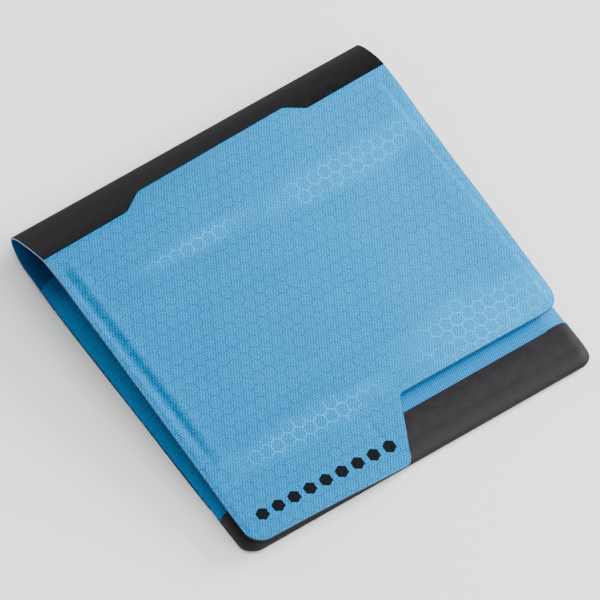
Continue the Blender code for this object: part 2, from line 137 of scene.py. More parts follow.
@dataclass(frozen=True)
class Finish:
    """A finish whose pattern follows the cloth, in millimetres of cloth.

    Attributes:
        name: Name of the material.
        roughness: Roughness of the bare surface.
        specular: Specular level of the bare surface.
    """

    name: str = "finish"
    roughness: float = 0.6
    specular: float = 0.4

    def build(self) -> bpy.types.Material:
        """Make the material.

        Returns:
            What was made.
        """
        made = bpy.data.materials.new(self.name)
        made.use_nodes = True
        tree = made.node_tree
        shader = tree.nodes["Principled BSDF"]
        shader.inputs["Roughness"].default_value = self.roughness
        shader.inputs["Specular IOR Level"].default_value = self.specular
        self.paint(tree, shader)
        return made

    def paint(self, tree: bpy.types.NodeTree, shader: bpy.types.Node) -> None:
        """Add this finish's own nodes to its shader."""

    def cloth_place(self, tree: bpy.types.NodeTree) -> bpy.types.NodeSocket:
        """Place on the cloth in millimetres, X across and Y along it.

        Args:
            tree: Tree that gets the nodes.

        Returns:
            Socket with the place.
        """
        place = add_node(tree, "ShaderNodeUVMap", {"uv_map": "cloth"})
        scale = 1000.0 / UV_PER_METRE
        scaled = add_node(
            tree,
            "ShaderNodeVectorMath",
            {"operation": "MULTIPLY", 1: (scale, scale, scale)},
            {0: place.outputs["UV"]},
        )
        return scaled.outputs[0]

    def object_place(self, tree: bpy.types.NodeTree) -> bpy.types.NodeSocket:
        """Place in the wallet's own space, in millimetres.

        Args:
            tree: Tree that gets the nodes.

        Returns:
            Socket with the place.
        """
        place = add_node(tree, "ShaderNodeTexCoord")
        scaled = add_node(
            tree,
            "ShaderNodeVectorMath",
            {"operation": "MULTIPLY", 1: (1000.0, 1000.0, 1000.0)},
            {0: place.outputs["Object"]},
        )
        return scaled.outputs[0]

    def wave(
        self,
        tree: bpy.types.NodeTree,
        place: bpy.types.NodeSocket,
        cycles: tuple[float, float],
    ) -> bpy.types.NodeSocket:
        """Add a cosine wave over the cloth.

        Args:
            tree: Tree that gets the nodes.
            place: Place on the cloth in millimetres.
            cycles: Cycles for each millimetre across and along the cloth.

        Returns:
            Socket with the wave, from -1 to 1.
        """
        turns = (2 * math.pi * cycles[0], 2 * math.pi * cycles[1], 0.0)
        phase = add_node(tree, "ShaderNodeVectorMath", {"operation": "DOT_PRODUCT", 1: turns}, {0: place})
        wave = add_node(tree, "ShaderNodeMath", {"operation": "COSINE"}, {0: phase.outputs["Value"]})
        return wave.outputs[0]

    def emboss(
        self,
        tree: bpy.types.NodeTree,
        shader: bpy.types.Node,
        height: bpy.types.NodeSocket,
        depth_mm: float,
        strength: float = 1.0,
    ) -> None:
        """Raise the surface by a height from 0 to 1 times a depth.

        Args:
            tree: Tree that gets the nodes.
            shader: The material's main shader.
            height: Height of the pattern.
            depth_mm: Depth in millimetres.
            strength: Strength of the bump.
        """
        bump = add_node(
            tree, "ShaderNodeBump", {"Distance": depth_mm * MM, "Strength": strength}, {"Height": height}
        )
        tree.links.new(bump.outputs[0], shader.inputs["Normal"])


@dataclass(frozen=True)
class Weave(Finish):
    """A weave with one colour on top of its yarns and another between them.

    Attributes:
        colour: Colour on top of the yarns.
        shade: Colour between the yarns.
        grain: Size of the uneven patches, in millimetres.
        relief: Depth of the weave, in millimetres.
        relief_strength: Strength of the weave's bump.
    """

    colour: str = "#5A5E62"
    shade: str = "#35393D"
    grain: float = 1.4
    relief: float = 0.05
    relief_strength: float = 0.6

    def weave(
        self,
        tree: bpy.types.NodeTree,
        shader: bpy.types.Node,
        place: bpy.types.NodeSocket,
        pattern: bpy.types.NodeSocket,
    ) -> None:
        """Colour the yarns a little unevenly, and raise them.

        Args:
            tree: Tree that gets the nodes.
            shader: The material's main shader.
            place: Place on the cloth in millimetres.
            pattern: Height of the yarns.
        """
        uneven = add_node(
            tree, "ShaderNodeTexNoise", {**MOTTLE, "Scale": 1.0 / self.grain}, {"Vector": place}
        ).outputs["Fac"]
        grainy = add_node(
            tree, "ShaderNodeMath", {"operation": "ADD"}, {0: pattern, 1: uneven}
        ).outputs[0]
        lit = add_node(tree, "ShaderNodeMapRange", {**STEP, 1: -0.5, 2: 1.5}, {0: grainy}).outputs[0]
        woven = add_node(
            tree,
            "ShaderNodeMix",
            {"data_type": "RGBA", 6: linear(self.shade), 7: linear(self.colour)},
            {0: lit},
        ).outputs[2]
        tree.links.new(woven, shader.inputs["Base Color"])
        self.emboss(tree, shader, pattern, self.relief, self.relief_strength)


@dataclass(frozen=True)
class Worn(Finish):
    """A plain finish with soft patches of a second colour.

    Attributes:
        colour: Main colour.
        worn: Colour of the patches.
        patch: Size of the patches, in millimetres.
        spread: Unevenness at which the patches start and are full.
    """

    colour: str = "#141416"
    worn: str = "#2A2A2E"
    patch: float = 1.2
    spread: tuple[float, float] = (0.5, 0.75)

    def wear(
        self, tree: bpy.types.NodeTree, shader: bpy.types.Node, place: bpy.types.NodeSocket
    ) -> tuple[bpy.types.NodeSocket, bpy.types.NodeSocket]:
        """Colour the surface and its patches.

        Args:
            tree: Tree that gets the nodes.
            shader: The material's main shader.
            place: Place on the piece in millimetres.

        Returns:
            Sockets with the unevenness and with the share of the patches.
        """
        low, high = self.spread
        uneven = add_node(
            tree, "ShaderNodeTexNoise", {**MOTTLE, "Scale": 1.0 / self.patch}, {"Vector": place}
        ).outputs["Fac"]
        share = add_node(tree, "ShaderNodeMapRange", {**STEP, 1: low, 2: high}, {0: uneven}).outputs[0]
        mixed = add_node(
            tree,
            "ShaderNodeMix",
            {"data_type": "RGBA", 6: linear(self.colour), 7: linear(self.worn)},
            {0: share},
        ).outputs[2]
        tree.links.new(mixed, shader.inputs["Base Color"])
        return uneven, share


@dataclass(frozen=True)
class HexRipstop(Finish):
    """Polyester plain weave with a hexagon net of thicker yarns, laminated.

    The eye sees a bright, slightly grainy blue, small light and dark floats, and a hexagon net that is
    darker than the blue in most places and pale in a few patches, where its pale lines are a painted
    reflection.

    Attributes:
        colour: Blue of the floats that face the light.
        shade: Blue between the floats.
        net: Pale blue of the palest specks and of the net's painted reflection in its patches.
        warp_pitch: Distance between every second warp float across, in millimetres.
        weft_pitch: Distance between rows of floats, in millimetres.
        cell_width: Distance between hexagon centres in a row, in millimetres.
        row_pitch: Distance between rows of hexagons, in millimetres.
        grain_size: Size of the yarns' grain, in millimetres.
        grain: Strength of the grain against the floats.
        patches: Middle and half size of each patch of painted reflection on the net.
    """

    name: str = "laminated_hexagon_ripstop"
    roughness: float = 0.65
    specular: float = 0.08
    colour: str = "#008CC8"
    shade: str = "#004678"
    net: str = "#3DAEE9"
    warp_pitch: float = 0.72
    weft_pitch: float = 0.63
    cell_width: float = 2.95
    row_pitch: float = 2.75
    grain_size: float = 0.25
    grain: float = 2.6
    patches: tuple[tuple[float, float, float, float], ...] = (
        (-20.0, 65.5, 24.0, 4.2),
        (30.0, 63.5, 24.0, 8.5),
        (26.0, 15.0, 28.0, 5.0),
        (-16.0, 13.0, 18.0, 3.0),
    )

    def hexagon_edge(
        self, tree: bpy.types.NodeTree, place: bpy.types.NodeSocket
    ) -> bpy.types.NodeSocket:
        """Distance from the middle of a hexagon cell, 1 at its edge.

        Args:
            tree: Tree that gets the nodes.
            place: Place on the cloth in millimetres.

        Returns:
            Socket with the distance.
        """
        regular_row = self.cell_width * math.sqrt(3) / 2
        squeezed = add_node(
            tree,
            "ShaderNodeVectorMath",
            {"operation": "MULTIPLY", 1: (1.0, regular_row / self.row_pitch, 0.0)},
            {0: place},
        )
        half = (self.cell_width / 2, regular_row, 1.0)
        back = tuple(-side for side in half)
        offsets = []
        for shift in ((0.0, 0.0, 0.0), half):
            moved = add_node(
                tree,
                "ShaderNodeVectorMath",
                {"operation": "SUBTRACT", 1: shift},
                {0: squeezed.outputs[0]},
            )
            wrapped = add_node(
                tree,
                "ShaderNodeVectorMath",
                {"operation": "WRAP", 1: half, 2: back},
                {0: moved.outputs[0]},
            )
            flat = add_node(
                tree,
                "ShaderNodeVectorMath",
                {"operation": "MULTIPLY", 1: (1.0, 1.0, 0.0)},
                {0: wrapped.outputs[0]},
            )
            offsets.append(flat.outputs[0])
        lengths = [
            add_node(tree, "ShaderNodeVectorMath", {"operation": "LENGTH"}, {0: offset}).outputs[
                "Value"
            ]
            for offset in offsets
        ]
        second_is_nearer = add_node(
            tree, "ShaderNodeMath", {"operation": "GREATER_THAN"}, {0: lengths[0], 1: lengths[1]}
        ).outputs[0]
        nearest = add_node(
            tree,
            "ShaderNodeMix",
            {"data_type": "VECTOR"},
            {0: second_is_nearer, 4: offsets[0], 5: offsets[1]},
        )
        folded = add_node(
            tree, "ShaderNodeVectorMath", {"operation": "ABSOLUTE"}, {0: nearest.outputs[1]}
        )
        slanted = add_node(
            tree,
            "ShaderNodeVectorMath",
            {"operation": "DOT_PRODUCT", 1: (0.5, math.sqrt(3) / 2, 0.0)},
            {0: folded.outputs[0]},
        )
        upright = add_node(
            tree,
            "ShaderNodeVectorMath",
            {"operation": "DOT_PRODUCT", 1: (1.0, 0.0, 0.0)},
            {0: folded.outputs[0]},
        )
        reach = add_node(
            tree,
            "ShaderNodeMath",
            {"operation": "MAXIMUM"},
            {0: slanted.outputs["Value"], 1: upright.outputs["Value"]},
        ).outputs[0]
        return add_node(
            tree, "ShaderNodeMath", {"operation": "MULTIPLY", 1: 2.0 / self.cell_width}, {0: reach}
        ).outputs[0]

    def floats(
        self, tree: bpy.types.NodeTree, place: bpy.types.NodeSocket
    ) -> bpy.types.NodeSocket:
        """Height of the yarn floats, from 0 to 1.

        Args:
            tree: Tree that gets the nodes.
            place: Place on the cloth in millimetres.

        Returns:
            Socket with the height.
        """
        across, along = 1.0 / self.warp_pitch, 0.5 / self.weft_pitch
        rising = self.wave(tree, place, (across, along))
        falling = self.wave(tree, place, (across, -along))
        rows = self.wave(tree, place, (0.0, 2 * along))
        twill = add_node(
            tree, "ShaderNodeMath", {"operation": "MULTIPLY", 1: 0.2}, {0: rising}
        ).outputs[0]
        cross = add_node(
            tree, "ShaderNodeMath", {"operation": "MULTIPLY", 1: 0.02}, {0: falling}
        ).outputs[0]
        steps = add_node(tree, "ShaderNodeMath", {"operation": "MULTIPLY", 1: 0.14}, {0: rows}).outputs[0]
        crossed = add_node(tree, "ShaderNodeMath", {"operation": "ADD"}, {0: twill, 1: cross}).outputs[0]
        woven = add_node(tree, "ShaderNodeMath", {"operation": "ADD"}, {0: crossed, 1: steps}).outputs[0]
        return add_node(tree, "ShaderNodeMath", {"operation": "ADD", 1: 0.5}, {0: woven}).outputs[0]

    def painted_net_glint(
        self, tree: bpy.types.NodeTree, place: bpy.types.NodeSocket
    ) -> bpy.types.NodeSocket:
        """Share of painted reflection on the net, from 0 to 1, in its patches.

        Args:
            tree: Tree that gets the nodes.
            place: Place on the cloth in millimetres.

        Returns:
            Socket with the share.
        """
        ragged = add_node(
            tree, "ShaderNodeTexNoise", {**MOTTLE, "Scale": 1.0 / 5.0}, {"Vector": place}
        ).outputs["Fac"]
        shown: list[bpy.types.NodeSocket] = []
        for x, s, half_x, half_s in self.patches:
            offset = add_node(
                tree, "ShaderNodeVectorMath", {"operation": "SUBTRACT", 1: (x, s, 0.0)}, {0: place}
            )
            sized = add_node(
                tree,
                "ShaderNodeVectorMath",
                {"operation": "DIVIDE", 1: (half_x, half_s, 1.0)},
                {0: offset.outputs[0]},
            )
            far = add_node(tree, "ShaderNodeVectorMath", {"operation": "LENGTH"}, {0: sized.outputs[0]})
            reach = add_node(
                tree, "ShaderNodeMath", {"operation": "ADD"}, {0: far.outputs["Value"], 1: ragged}
            ).outputs[0]
            near = add_node(tree, "ShaderNodeMapRange", {**STEP, 1: 1.75, 2: 0.8}, {0: reach}).outputs[0]
            shown.append(near)
        patch = shown[0]
        for near in shown[1:]:
            patch = add_node(
                tree, "ShaderNodeMath", {"operation": "MAXIMUM"}, {0: patch, 1: near}
            ).outputs[0]
        return patch

    def tone(
        self, tree: bpy.types.NodeTree, place: bpy.types.NodeSocket
    ) -> bpy.types.NodeSocket:
        """Painted light and shade of the cloth: painted light bands along the fold, painted light that
        makes it lighter to the right, and slow random tone.

        Args:
            tree: Tree that gets the nodes.
            place: Place on the cloth in millimetres.

        Returns:
            Socket with the painted light and the change of tone.
        """
        stretched = add_node(
            tree, "ShaderNodeVectorMath", {"operation": "MULTIPLY", 1: (0.1, 1.0, 0.0)}, {0: place}
        )
        # painted light and shade: soft bands stretched along the fold, standing in for sheen on the
        # cloth's undulations
        painted_bands = add_node(
            tree, "ShaderNodeTexNoise", {**MOTTLE, "Scale": 1.0 / 3.4}, {"Vector": stretched.outputs[0]}
        ).outputs["Fac"]
        slow = add_node(
            tree, "ShaderNodeTexNoise", {**MOTTLE, "Scale": 1.0 / 14.0}, {"Vector": place}
        ).outputs["Fac"]
        both = add_node(tree, "ShaderNodeMath", {"operation": "ADD"}, {0: painted_bands, 1: slow}).outputs[0]
        drift = add_node(tree, "ShaderNodeMath", {"operation": "MULTIPLY", 1: 0.16}, {0: both}).outputs[0]
        along = add_node(tree, "ShaderNodeSeparateXYZ", {}, {0: place})
        # painted light: the cloth made lighter towards the right, where more light falls
        painted_light_right = add_node(
            tree, "ShaderNodeMapRange", {**STEP, 1: -45.0, 2: 60.0, 4: 0.3}, {0: along.outputs["X"]}
        ).outputs[0]
        return add_node(tree, "ShaderNodeMath", {"operation": "ADD"}, {0: drift, 1: painted_light_right}).outputs[0]

    def paint(self, tree: bpy.types.NodeTree, shader: bpy.types.Node) -> None:
        """Paint the floats, the net with its patches of painted reflection, the painted light and a soft
        unevenness.

        Args:
            tree: Tree that gets the nodes.
            shader: The material's main shader.
        """
        place = self.cloth_place(tree)
        floats = self.floats(tree, place)
        fine = add_node(
            tree, "ShaderNodeTexNoise", {**MOTTLE, "Scale": 1.0 / self.grain_size}, {"Vector": place}
        ).outputs["Fac"]
        grain = add_node(
            tree, "ShaderNodeMath", {"operation": "MULTIPLY", 1: self.grain}, {0: fine}
        ).outputs[0]
        value = add_node(tree, "ShaderNodeMath", {"operation": "ADD"}, {0: floats, 1: grain}).outputs[0]
        edge = self.hexagon_edge(tree, place)
        line = add_node(tree, "ShaderNodeMapRange", {**STEP, 1: 0.83, 2: 0.98}, {0: edge}).outputs[0]
        # painted reflection: patches where the net's lines are painted pale, as if glinting
        clear = self.painted_net_glint(tree, place)
        broken = add_node(tree, "ShaderNodeMapRange", {**STEP, 1: 0.25, 2: 0.6}, {0: fine}).outputs[0]
        thread = add_node(
            tree, "ShaderNodeMath", {"operation": "MULTIPLY"}, {0: line, 1: broken}
        ).outputs[0]
        # the net's lines painted pale inside the patches, a painted reflection
        glinting_line = add_node(
            tree, "ShaderNodeMath", {"operation": "MULTIPLY"}, {0: thread, 1: clear}
        ).outputs[0]
        # the net's own darker lines, outside the patches of painted reflection
        outside_glint = add_node(
            tree, "ShaderNodeMath", {"operation": "SUBTRACT", 0: 1.0}, {1: clear}
        ).outputs[0]
        dull_line = add_node(
            tree, "ShaderNodeMath", {"operation": "MULTIPLY"}, {0: line, 1: outside_glint}
        ).outputs[0]
        lighter = add_node(
            tree, "ShaderNodeMath", {"operation": "MULTIPLY", 1: 0.8}, {0: glinting_line}
        ).outputs[0]
        darker = add_node(
            tree, "ShaderNodeMath", {"operation": "MULTIPLY", 1: 0.2}, {0: dull_line}
        ).outputs[0]
        # painted sheen that lifts the whole patch a little
        patch_glint = add_node(tree, "ShaderNodeMath", {"operation": "MULTIPLY", 1: 0.1}, {0: clear}).outputs[0]
        tone = self.tone(tree, place)
        value = add_node(tree, "ShaderNodeMath", {"operation": "ADD"}, {0: value, 1: lighter}).outputs[0]
        value = add_node(
            tree, "ShaderNodeMath", {"operation": "SUBTRACT"}, {0: value, 1: darker}
        ).outputs[0]
        value = add_node(tree, "ShaderNodeMath", {"operation": "ADD"}, {0: value, 1: patch_glint}).outputs[0]
        value = add_node(tree, "ShaderNodeMath", {"operation": "ADD"}, {0: value, 1: tone}).outputs[0]
        body = add_node(tree, "ShaderNodeMapRange", {**STEP, 1: 1.2, 2: 2.75}, {0: value}).outputs[0]
        blue = add_node(
            tree,
            "ShaderNodeMix",
            {"data_type": "RGBA", 6: linear(self.shade), 7: linear(self.colour)},
            {0: body},
        ).outputs[2]
        # the palest specks, partly the yarns' grain and partly the painted reflection and painted light
        speck_and_glint = add_node(
            tree, "ShaderNodeMapRange", {**STEP, 1: 2.15, 2: 3.1, 4: 0.7}, {0: value}
        ).outputs[0]
        finished = add_node(
            tree, "ShaderNodeMix", {"data_type": "RGBA", 7: linear(self.net)}, {0: speck_and_glint, 6: blue}
        ).outputs[2]
        tree.links.new(finished, shader.inputs["Base Color"])
        raised = add_node(tree, "ShaderNodeMath", {"operation": "MULTIPLY", 1: 0.5}, {0: line}).outputs[0]
        height = add_node(tree, "ShaderNodeMath", {"operation": "ADD"}, {0: floats, 1: raised}).outputs[0]
        self.emboss(tree, shader, height, 0.05, 0.6)


@dataclass(frozen=True)
class RibbedWeave(Weave):
    """Ribbed polyester lining weave, with fine cords that run away from the fold.

    The eye sees thin light and dark lines side by side, crossed by slow steps.

    Attributes:
        rib_pitch: Distance between ribs, in millimetres.
        step: Height of the crossing steps against the ribs.
        step_pitch: Distance between the crossing steps, in millimetres.
    """

    name: str = "ribbed_polyester_weave"
    roughness: float = 0.7
    specular: float = 0.08
    colour: str = "#0086C6"
    shade: str = "#0062A0"
    step: float = 0.22
    grain: float = 1.1
    relief: float = 0.06
    relief_strength: float = 0.5
    rib_pitch: float = 0.49
    step_pitch: float = 1.19

    def paint(self, tree: bpy.types.NodeTree, shader: bpy.types.Node) -> None:
        """Paint the ribs and the steps across them.

        Args:
            tree: Tree that gets the nodes.
            shader: The material's main shader.
        """
        place = self.cloth_place(tree)
        rib = self.wave(tree, place, (1.0 / self.rib_pitch, 0.19 / self.rib_pitch))
        step = self.wave(tree, place, (0.0, 1.0 / self.step_pitch))
        crossed = add_node(
            tree, "ShaderNodeMath", {"operation": "MULTIPLY", 1: self.step}, {0: step}
        ).outputs[0]
        ribs = add_node(tree, "ShaderNodeMath", {"operation": "ADD"}, {0: rib, 1: crossed}).outputs[0]
        self.weave(tree, shader, place, ribs)


@dataclass(frozen=True)
class BondedFilm(Finish):
    """Black polyurethane film, calendered with a fine leather grain and bonded on.

    The eye sees a soft matte black with a faint grain and a dull grey sheen where
    it turns to the light.

    Attributes:
        colour: Main black.
        worn: Slightly lighter black where it has rubbed.
        grain: Size of the grain, in millimetres, coarser than real so that it shows.
    """

    name: str = "black_polyurethane_film"
    roughness: float = 0.6
    specular: float = 0.05
    colour: str = "#0C0B0D"
    worn: str = "#151417"
    grain: float = 0.55

    def paint(self, tree: bpy.types.NodeTree, shader: bpy.types.Node) -> None:
        """Paint the grain and the rubbed places.

        Args:
            tree: Tree that gets the nodes.
            shader: The material's main shader.
        """
        place = self.cloth_place(tree)
        cells = add_node(
            tree,
            "ShaderNodeTexVoronoi",
            {"feature": "SMOOTH_F1", "Scale": 1.0 / self.grain, "Smoothness": 0.6},
            {"Vector": place},
        )
        uneven = add_node(
            tree, "ShaderNodeTexNoise", {**MOTTLE, "Scale": 1.0 / 3.0}, {"Vector": place}
        ).outputs["Fac"]
        rubbed = add_node(tree, "ShaderNodeMapRange", {**STEP, 1: 0.4, 2: 0.7}, {0: uneven}).outputs[0]
        black = add_node(
            tree,
            "ShaderNodeMix",
            {"data_type": "RGBA", 6: linear(self.colour), 7: linear(self.worn)},
            {0: rubbed},
        ).outputs[2]
        tree.links.new(black, shader.inputs["Base Color"])
        rougher = add_node(
            tree, "ShaderNodeMath", {"operation": "MULTIPLY", 1: 0.1}, {0: rubbed}
        ).outputs[0]
        dull = add_node(
            tree, "ShaderNodeMath", {"operation": "ADD", 1: self.roughness}, {0: rougher}
        ).outputs[0]
        tree.links.new(dull, shader.inputs["Roughness"])
        self.emboss(tree, shader, cells.outputs["Distance"], 0.03, 0.5)


@dataclass(frozen=True)
class CutEdge(Finish):
    """Hot-cut edge of the laminate, where the film under the weave shows.

    The eye sees a thin dull line, pale at the open fold and brownish elsewhere.

    Attributes:
        pale: Colour beside the fold.
        dull: Colour along the cover.
        covered: Colour of the right side, where the weave is sealed over the edge.
        fuzz: Colour of the yarn ends that stand out of the cut.
        fold_end: Place along the cloth where the pale part ends, in millimetres.
    """

    name: str = "hot_cut_laminate_edge"
    roughness: float = 0.6
    specular: float = 0.1
    pale: str = "#7F98AC"
    dull: str = "#3B3634"
    covered: str = "#0A4E80"
    fuzz: str = "#3C5468"
    fold_end: float = 0.0

    def paint(self, tree: bpy.types.NodeTree, shader: bpy.types.Node) -> None:
        """Paint the change from the pale to the dull edge.

        Args:
            tree: Tree that gets the nodes.
            shader: The material's main shader.
        """
        place = self.cloth_place(tree)
        along = add_node(tree, "ShaderNodeSeparateXYZ", {}, {0: place})
        away = add_node(
            tree,
            "ShaderNodeMapRange",
            {**STEP, 1: self.fold_end, 2: self.fold_end + 8.0},
            {0: along.outputs["Y"]},
        ).outputs[0]
        ragged = add_node(
            tree, "ShaderNodeTexNoise", {**MOTTLE, "Scale": 1.0 / 0.8}, {"Vector": place}
        ).outputs["Fac"]
        uneven = add_node(
            tree, "ShaderNodeMapRange", {**STEP, 1: 0.3, 2: 0.7, 4: 0.4}, {0: ragged}
        ).outputs[0]
        edge = add_node(
            tree,
            "ShaderNodeMix",
            {"data_type": "RGBA", 6: linear(self.pale), 7: linear(self.dull)},
            {0: away},
        ).outputs[2]
        fuzzy = add_node(
            tree, "ShaderNodeMix", {"data_type": "RGBA", 7: linear(self.fuzz)}, {0: uneven, 6: edge}
        ).outputs[2]
        sealed = add_node(
            tree, "ShaderNodeMapRange", {**STEP, 1: 40.0, 2: 45.0}, {0: along.outputs["X"]}
        ).outputs[0]
        finished = add_node(
            tree, "ShaderNodeMix", {"data_type": "RGBA", 7: linear(self.covered)}, {0: sealed, 6: fuzzy}
        ).outputs[2]
        tree.links.new(finished, shader.inputs["Base Color"])


@dataclass(frozen=True)
class PlainWeave(Weave):
    """Plain woven or knitted tape and lining, matt, with round yarns.

    The eye sees an even dark tone broken up by a fine square weave.

    Attributes:
        pitch: Distance between yarns, in millimetres, as coarse as it needs to show.
    """

    name: str = "plain_weave"
    roughness: float = 0.75
    specular: float = 0.2
    pitch: float = 0.42

    def paint(self, tree: bpy.types.NodeTree, shader: bpy.types.Node) -> None:
        """Paint the crossing yarns.

        Args:
            tree: Tree that gets the nodes.
            shader: The material's main shader.
        """
        place = self.cloth_place(tree)
        warp = self.wave(tree, place, (1.0 / self.pitch, 0.0))
        weft = self.wave(tree, place, (0.0, 1.0 / self.pitch))
        crossed = add_node(
            tree, "ShaderNodeMath", {"operation": "MULTIPLY"}, {0: warp, 1: weft}
        ).outputs[0]
        self.weave(tree, shader, place, crossed)


@dataclass(frozen=True)
class SeamTape(Worn):
    """Heat-bonded polyurethane seam tape, a dull brownish grey with a soft gloss.

    The eye sees a thin smooth strip with faint ripples from the bonding roller.
    """

    name: str = "bonded_seam_tape"
    roughness: float = 0.45
    colour: str = "#57514D"
    worn: str = "#79726C"
    patch: float = 1.6
    spread: tuple[float, float] = (0.35, 0.7)

    def paint(self, tree: bpy.types.NodeTree, shader: bpy.types.Node) -> None:
        """Paint the ripples.

        Args:
            tree: Tree that gets the nodes.
            shader: The material's main shader.
        """
        place = self.cloth_place(tree)
        ripple, _ = self.wear(tree, shader, place)
        self.emboss(tree, shader, ripple, 0.05, 0.4)


@dataclass(frozen=True)
class PrintedInk(Worn):
    """Screen-printed black ink that fills the weave.

    The eye sees a flat black with the weave just showing and slightly worn floats.
    """

    name: str = "screen_printed_ink"
    roughness: float = 0.6
    specular: float = 0.05
    colour: str = "#0B0C0D"
    worn: str = "#14171A"
    patch: float = 0.5
    spread: tuple[float, float] = (0.45, 0.75)

    def paint(self, tree: bpy.types.NodeTree, shader: bpy.types.Node) -> None:
        """Paint the worn floats.

        Args:
            tree: Tree that gets the nodes.
            shader: The material's main shader.
        """
        place = self.cloth_place(tree)
        _, worn = self.wear(tree, shader, place)
        self.emboss(tree, shader, worn, 0.02, 0.5)


@dataclass(frozen=True)
class MouldedNylon(Worn):
    """Injection-moulded black nylon, as zip teeth are, with a satin gloss.

    The eye sees small crisp highlights on dark teeth that aren't quite even.
    """

    name: str = "moulded_black_nylon"
    roughness: float = 0.35
    specular: float = 0.5
    def paint(self, tree: bpy.types.NodeTree, shader: bpy.types.Node) -> None:
        """Paint the scuffs.

        Args:
            tree: Tree that gets the nodes.
            shader: The material's main shader.
        """
        place = self.object_place(tree)
        _, scuff = self.wear(tree, shader, place)
        self.emboss(tree, shader, scuff, 0.02, 0.5)


@dataclass(frozen=True)
class PlatedZinc(Finish):
    """Die-cast zinc with a dark nickel plating, tumbled to a dull shine.

    The eye sees a grey metal with fine uneven scratches and soft reflections.

    Attributes:
        colour: Colour of the plating.
        scratched: Colour of the scratches.
    """

    name: str = "nickel_plated_zinc"
    roughness: float = 0.32
    specular: float = 0.5
    colour: str = "#5E5F62"
    scratched: str = "#8C8D90"

    def paint(self, tree: bpy.types.NodeTree, shader: bpy.types.Node) -> None:
        """Paint the scratches and the tumbled unevenness.

        Args:
            tree: Tree that gets the nodes.
            shader: The material's main shader.
        """
        place = self.object_place(tree)
        drawn = add_node(
            tree, "ShaderNodeVectorMath", {"operation": "MULTIPLY", 1: (0.15, 1.0, 1.0)}, {0: place}
        )
        fine = add_node(
            tree, "ShaderNodeTexNoise", {**MOTTLE, "Scale": 1.0 / 0.12}, {"Vector": drawn.outputs[0]}
        ).outputs["Fac"]
        scratch = add_node(tree, "ShaderNodeMapRange", {**STEP, 1: 0.5, 2: 0.72}, {0: fine}).outputs[0]
        metal = add_node(
            tree,
            "ShaderNodeMix",
            {"data_type": "RGBA", 6: linear(self.colour), 7: linear(self.scratched)},
            {0: scratch},
        ).outputs[2]
        tree.links.new(metal, shader.inputs["Base Color"])
        shader.inputs["Metallic"].default_value = 1.0
        self.emboss(tree, shader, fine, 0.01, 0.4)


@dataclass(frozen=True)
class MattBoard(Finish):
    """Matt white painted board under the wallet."""

    name: str = "matt_white_board"
    roughness: float = 0.9
    specular: float = 0.1
    colour: str = "#F4F4F4"

    def paint(self, tree: bpy.types.NodeTree, shader: bpy.types.Node) -> None:
        """Set the plain colour."""
        shader.inputs["Base Color"].default_value = linear(self.colour)


class Material(Enum):
    """Every finish of the wallet. A value is the finish it is made from."""

    RIPSTOP = HexRipstop()
    RIBBED = RibbedWeave()
    # painted shade: the same ribbed weave made darker for the shell's inner face, which lies in shade
    # inside the fold and under the cover
    SHADED_SHELL_BACK = RibbedWeave(name="ribbed_shell_backing_painted_shade", colour="#005C98", shade="#003F6E")
    FOLD_FILM = BondedFilm()
    # painted light: the same black film made lighter for the edge band, which turns towards the light
    # round the free edge
    LIT_EDGE_FILM = BondedFilm(name="black_edge_film_painted_light", specular=0.2, colour="#1B191B", worn="#211F21")
    EDGE = CutEdge()
    TAPE = SeamTape()
    LINING = PlainWeave(name="grey_lining_weave")
    ZIP_TAPE = PlainWeave(name="black_zip_tape", colour="#2A2A2D", shade="#141416", pitch=0.5)
    INK = PrintedInk()
    NYLON = MouldedNylon()
    ZINC = PlatedZinc()
    BOARD = MattBoard()


@dataclass
class Wardrobe:
    """Makes each finish once and hands it out."""

    made: dict[Material, bpy.types.Material] = field(default_factory=dict)

    def get(self, material: Material) -> bpy.types.Material:
        """Material for a finish, made on first use.

        Args:
            material: The finish.

        Returns:
            The material.
        """
        if material not in self.made:
            self.made[material] = material.value.build()
        return self.made[material]


# ---------------------------------------------------------------- the sheet's form


